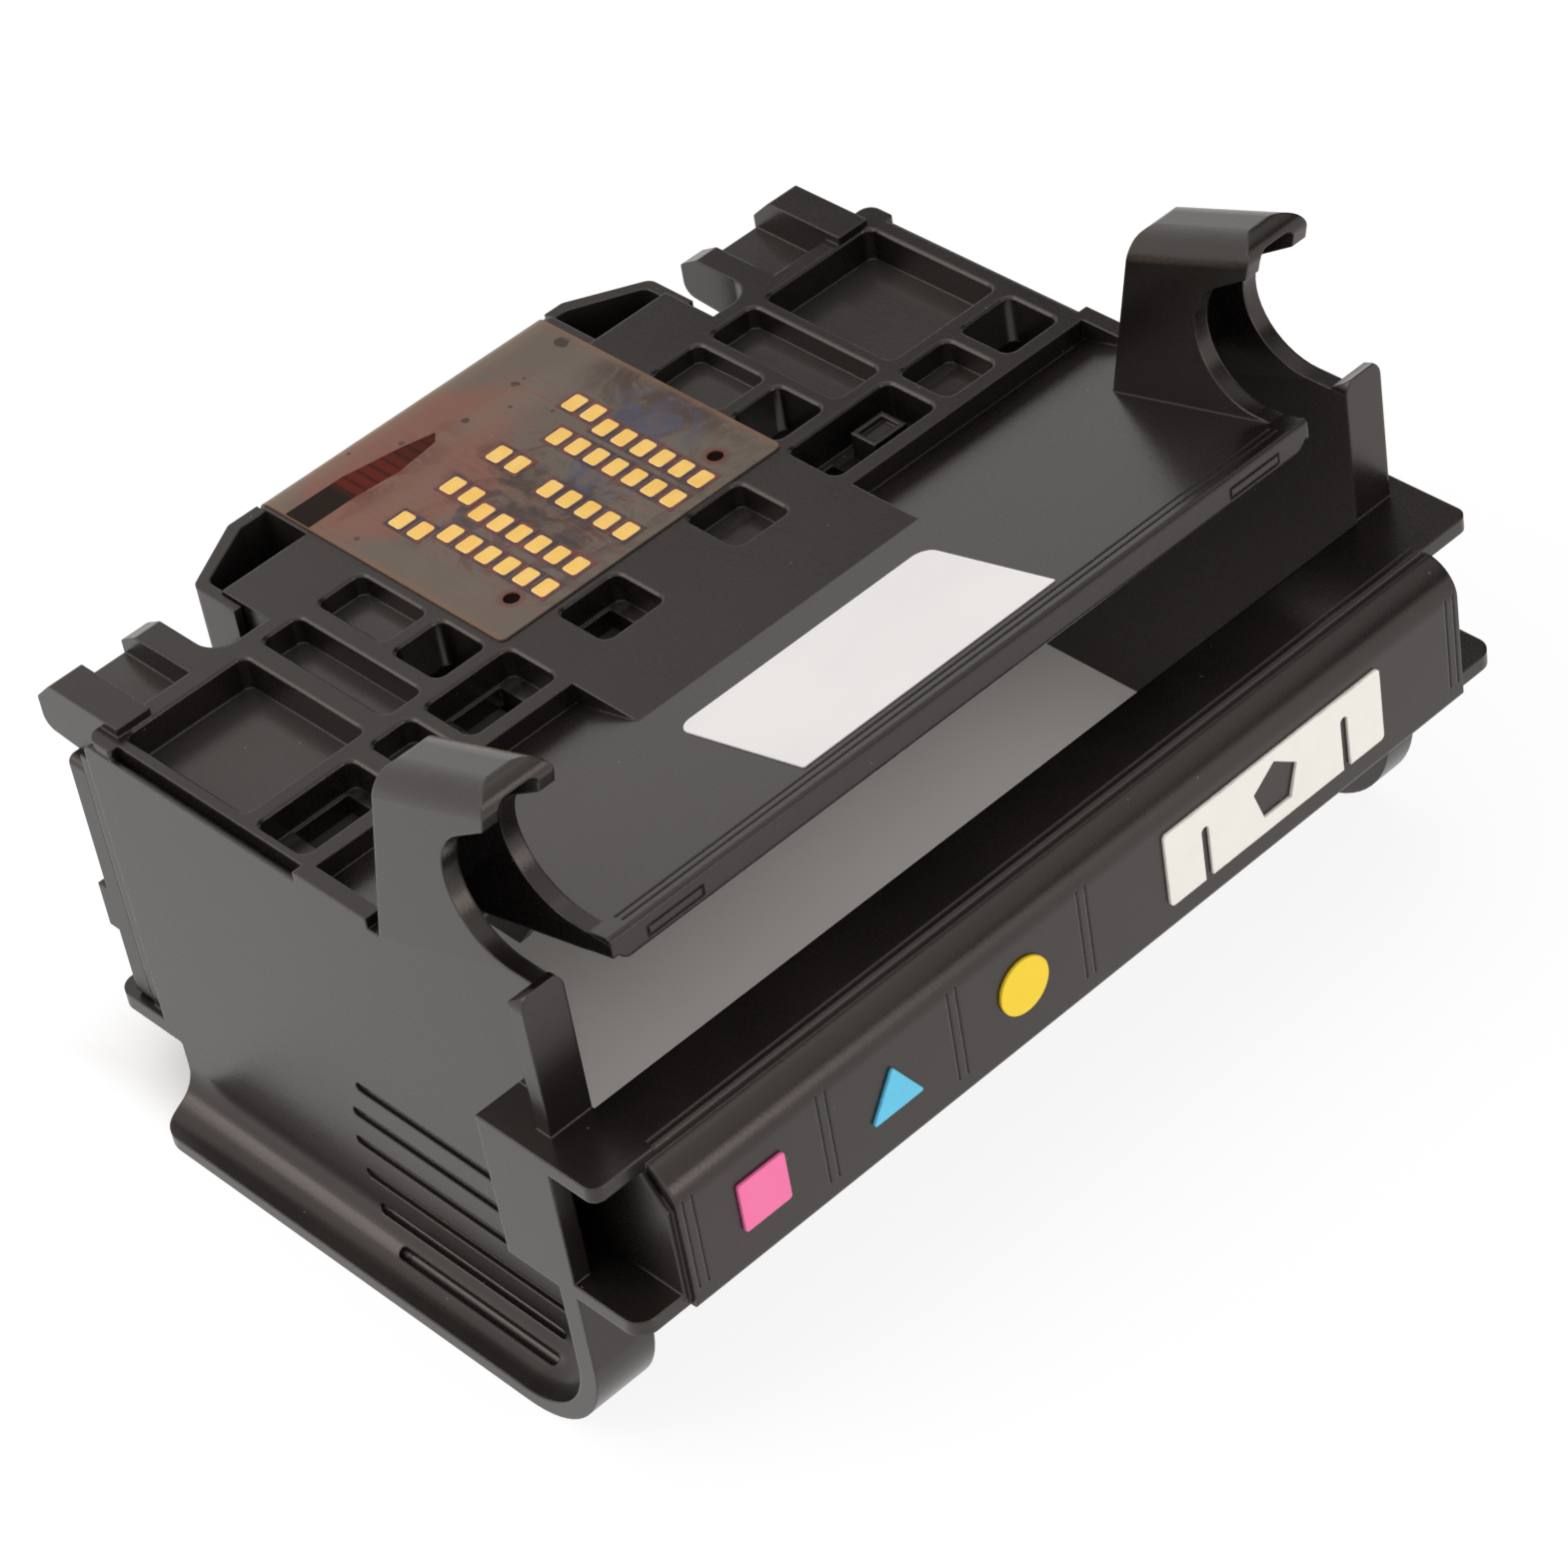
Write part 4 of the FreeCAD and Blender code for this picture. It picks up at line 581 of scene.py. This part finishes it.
# Each mark: its colour, the worn one and the one under its chips
MARKS = {
    "magenta_mark": ((0.95, 0.18, 0.41), (0.90, 0.14, 0.35), (0.30, 0.04, 0.10)),
    "cyan_mark": ((0.12, 0.59, 0.84), (0.09, 0.50, 0.75), (0.02, 0.12, 0.20)),
    "yellow_mark": ((0.98, 0.69, 0.015), (0.94, 0.61, 0.012), (0.40, 0.22, 0.02)),
    "white_mark": ((0.91, 0.88, 0.81), (0.84, 0.81, 0.75), (0.20, 0.19, 0.17)),
}
for name, (colour, worn, chip) in MARKS.items():
    finishes[name] = coloured_mark(name, colour, worn, chip)

slot_of = {s["node"]: s["material_slot"] for s in frame["record"]["subparts"]}
for name, piece in nodes.items():
    piece.data.materials.clear()
    piece.data.materials.append(finishes[slot_of[name]])


def finished(name, shape, material):
    """Turns a bmesh into a piece of the film that rides on the printhead."""
    mesh = bpy.data.meshes.new(name)
    bmesh.ops.recalc_face_normals(shape, faces=shape.faces)
    shape.to_mesh(mesh)
    shape.free()
    piece = bpy.data.objects.new(name, mesh)
    bpy.context.scene.collection.objects.link(piece)
    mesh.materials.append(material)
    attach(piece, "root")


def film_over_gap():
    """The stretch where the film crosses the gap in front of the snout, darkened with painted shade."""
    left = -0.0171
    outline = (
        (left, 0.03855), (-0.0105, 0.03845), (-0.0042, 0.0373), (-0.0010, 0.0364),
        (-0.0019, 0.0354), (-0.0069, 0.0348), (-0.0114, 0.0353), (left, 0.0353),
    )
    thickness = 0.00004
    shape = bmesh.new()
    corners = [shape.verts.new((x, y, FILM_TOP)) for x, y in outline]
    made = bmesh.ops.extrude_face_region(shape, geom=[shape.faces.new(corners)])
    raised = [v for v in made["geom"] if isinstance(v, bmesh.types.BMVert)]
    bmesh.ops.translate(shape, verts=raised, vec=(0, 0, thickness))
    # The extrusion leaves its faces in any order, so their places settle it
    shape.faces.sort(key=lambda face: sum(face.calc_center_median()))
    finished("film_over_gap", shape, tuck_film())


def pad_places():
    """Middle of every pad."""
    places = []
    for x_front, x_back, first, last, split in PAD_COLUMNS:
        for row in range(first, last + 1):
            x = x_back if row >= split else x_front
            places.append((x, PAD_FIRST_Y + row * PAD_PITCH))
    return places


def pad_rims():
    """A thin dark frame under every pad, where the film opens round it."""
    width, length, thickness = 0.00285, 0.00235, 0.00003
    shape = bmesh.new()
    for x, y in pad_places():
        made = bmesh.ops.create_cube(shape, size=1.0)
        bmesh.ops.scale(shape, verts=made["verts"], vec=(width, length, thickness))
        bmesh.ops.translate(shape, verts=made["verts"], vec=(x, y, FILM_TOP + thickness / 2))
    finished("pad_rims", shape, pad_rim())


def locating_holes():
    """Discs of painted shade at the bottom of the film's two locating holes."""
    shape = bmesh.new()
    for x, y in HOLES:
        where = Matrix.Translation((x, y, FILM_TOP - HOLE_DEPTH))
        bmesh.ops.create_circle(shape, cap_ends=True, segments=40, radius=HOLE_R, matrix=where)
    finished("locating_holes", shape, hole_depth())


film_over_gap()
pad_rims()
locating_holes()


# Where the floor turns from painted grey under the printhead to white: beside, before and behind it
SIDE_FADE = (0.0475, 0.0525)
FRONT_FADE = (-0.008, -0.024)
BACK_FADE = (0.036, 0.048)

# Where the painted light on the floor under the printhead dims towards the back, as painted shade
INWARD_FADE = (0.000, 0.024)

# Studio
FLOOR_SIZE = 6.0
CEILING_SIZE = 5.0
CEILING_PLACE = (3.55, -0.1, 1.3)
WORLD_LIGHT = 0.80
WORLD_SEEN = 1.0
LAMP_COLOUR = (1.0, 0.965, 0.945)

# Camera: where it stands, its three directions and its lens in millimetres
CAMERA_PLACE = (-0.21098, -0.28075, 0.31984)
CAMERA_RIGHT = Vector((0.71170904, -0.68916014, -0.13611963))
CAMERA_DOWN = Vector((-0.53013169, -0.39978495, -0.74775156))
CAMERA_AHEAD = Vector((0.46090199, 0.60434287, -0.64987618))
LENS = 118.74
SENSOR = 36.0

# Each lamp: its place, what it points at, its size and its power
LAMPS = {
    "left_box": ((-0.75, 0.45, 0.60), (-0.1, 0.1, 0.0), 0.7, 4.0),
    "top_box": ((-0.10, 0.10, 1.2), (0, 0, 0.03), 1.0, 2.4),
    "front_low": ((0.20, -1.15, 0.30), (0, 0, 0.02), 0.5, 3.1),
}


def sheet(name, size, place, finish):
    """A flat square that lies level and belongs to the studio."""
    shape = bmesh.new()
    bmesh.ops.create_grid(shape, x_segments=1, y_segments=1, size=size / 2)
    mesh = bpy.data.meshes.new(name)
    shape.to_mesh(mesh)
    shape.free()
    made = bpy.data.objects.new(name, mesh)
    made.location = place
    bpy.context.scene.collection.objects.link(made)
    mesh.materials.append(finish.material)


def pale_floor():
    """White floor that keeps a faint shadow, with painted light and shade that keep it grey under the
    printhead.
    """
    made = Finish("pale_floor", (0.80, 0.80, 0.80), 0.9)
    direct = made.seen_directly()
    beside = made.between(abs(made.along(0)), *SIDE_FADE)
    before = made.between(made.along(1), *FRONT_FADE)
    behind = made.between(made.along(1), *BACK_FADE)
    open_floor = beside.largest(before.largest(behind))
    made.give("Specular IOR Level", 0.1)
    near = made.blend(open_floor, (0.98, 0.98, 0.98), (0.14, 0.14, 0.14))
    made.give("Base Color", made.blend(direct, (0.80, 0.80, 0.80), near))
    # Painted light and shade: under the printhead the floor glows a dim grey, darker towards the back
    inward = made.between(made.along(1), *INWARD_FADE)
    shade = made.blend(inward, (0.096, 0.084, 0.075), (0.026, 0.021, 0.018))
    glow = made.blend(open_floor, shade, (0.88, 0.88, 0.88))
    made.give("Emission Color", made.blend(direct, (0, 0, 0), glow))
    made.give("Emission Strength", 1.0)
    sheet("floor", FLOOR_SIZE, (0, 0, 0), made)


def dark_ceiling():
    """Unlit ceiling of the studio on the right-hand side, which the level tops mirror."""
    made = Finish("dark_ceiling", (0.02, 0.02, 0.02), 0.9)
    made.give("Base Color", made.blend(made.noise(3), (0.015, 0.015, 0.015), (0.03, 0.03, 0.03)))
    sheet("ceiling", CEILING_SIZE, CEILING_PLACE, made)


def white_world():
    """White surroundings, a little dimmer as light than where they are seen."""
    world = bpy.data.worlds.new("studio")
    bpy.context.scene.world = world
    world.use_nodes = True
    sky = Shading(world.node_tree, "Background")
    sky.give("Color", (1, 1, 1, 1))
    sky.give("Strength", WORLD_LIGHT + sky.seen_directly() * (WORLD_SEEN - WORLD_LIGHT))


def lamp(name, place, target, size, power):
    """A soft square lamp that points at a target."""
    data = bpy.data.lights.new(name, "AREA")
    data.shape = "SQUARE"
    data.size = size
    data.energy = power
    data.color = LAMP_COLOUR
    made = bpy.data.objects.new(name, data)
    made.location = place
    made.rotation_euler = (Vector(target) - Vector(place)).to_track_quat("-Z", "Y").to_euler()
    bpy.context.scene.collection.objects.link(made)


def camera():
    """Camera placed where the photograph was taken from."""
    data = bpy.data.cameras.new("camera")
    data.sensor_width = SENSOR
    data.lens = LENS
    data.clip_start = 0.01
    data.clip_end = 20.0
    made = bpy.data.objects.new("camera", data)
    turn = Matrix((CAMERA_RIGHT, -CAMERA_DOWN, -CAMERA_AHEAD)).transposed().to_4x4()
    made.matrix_world = Matrix.Translation(CAMERA_PLACE) @ turn
    bpy.context.scene.collection.objects.link(made)
    bpy.context.scene.camera = made


pale_floor()
dark_ceiling()
white_world()
for name, (place, target, size, power) in LAMPS.items():
    lamp(name, place, target, size, power)
camera()
bpy.context.scene.view_settings.view_transform = "Standard"
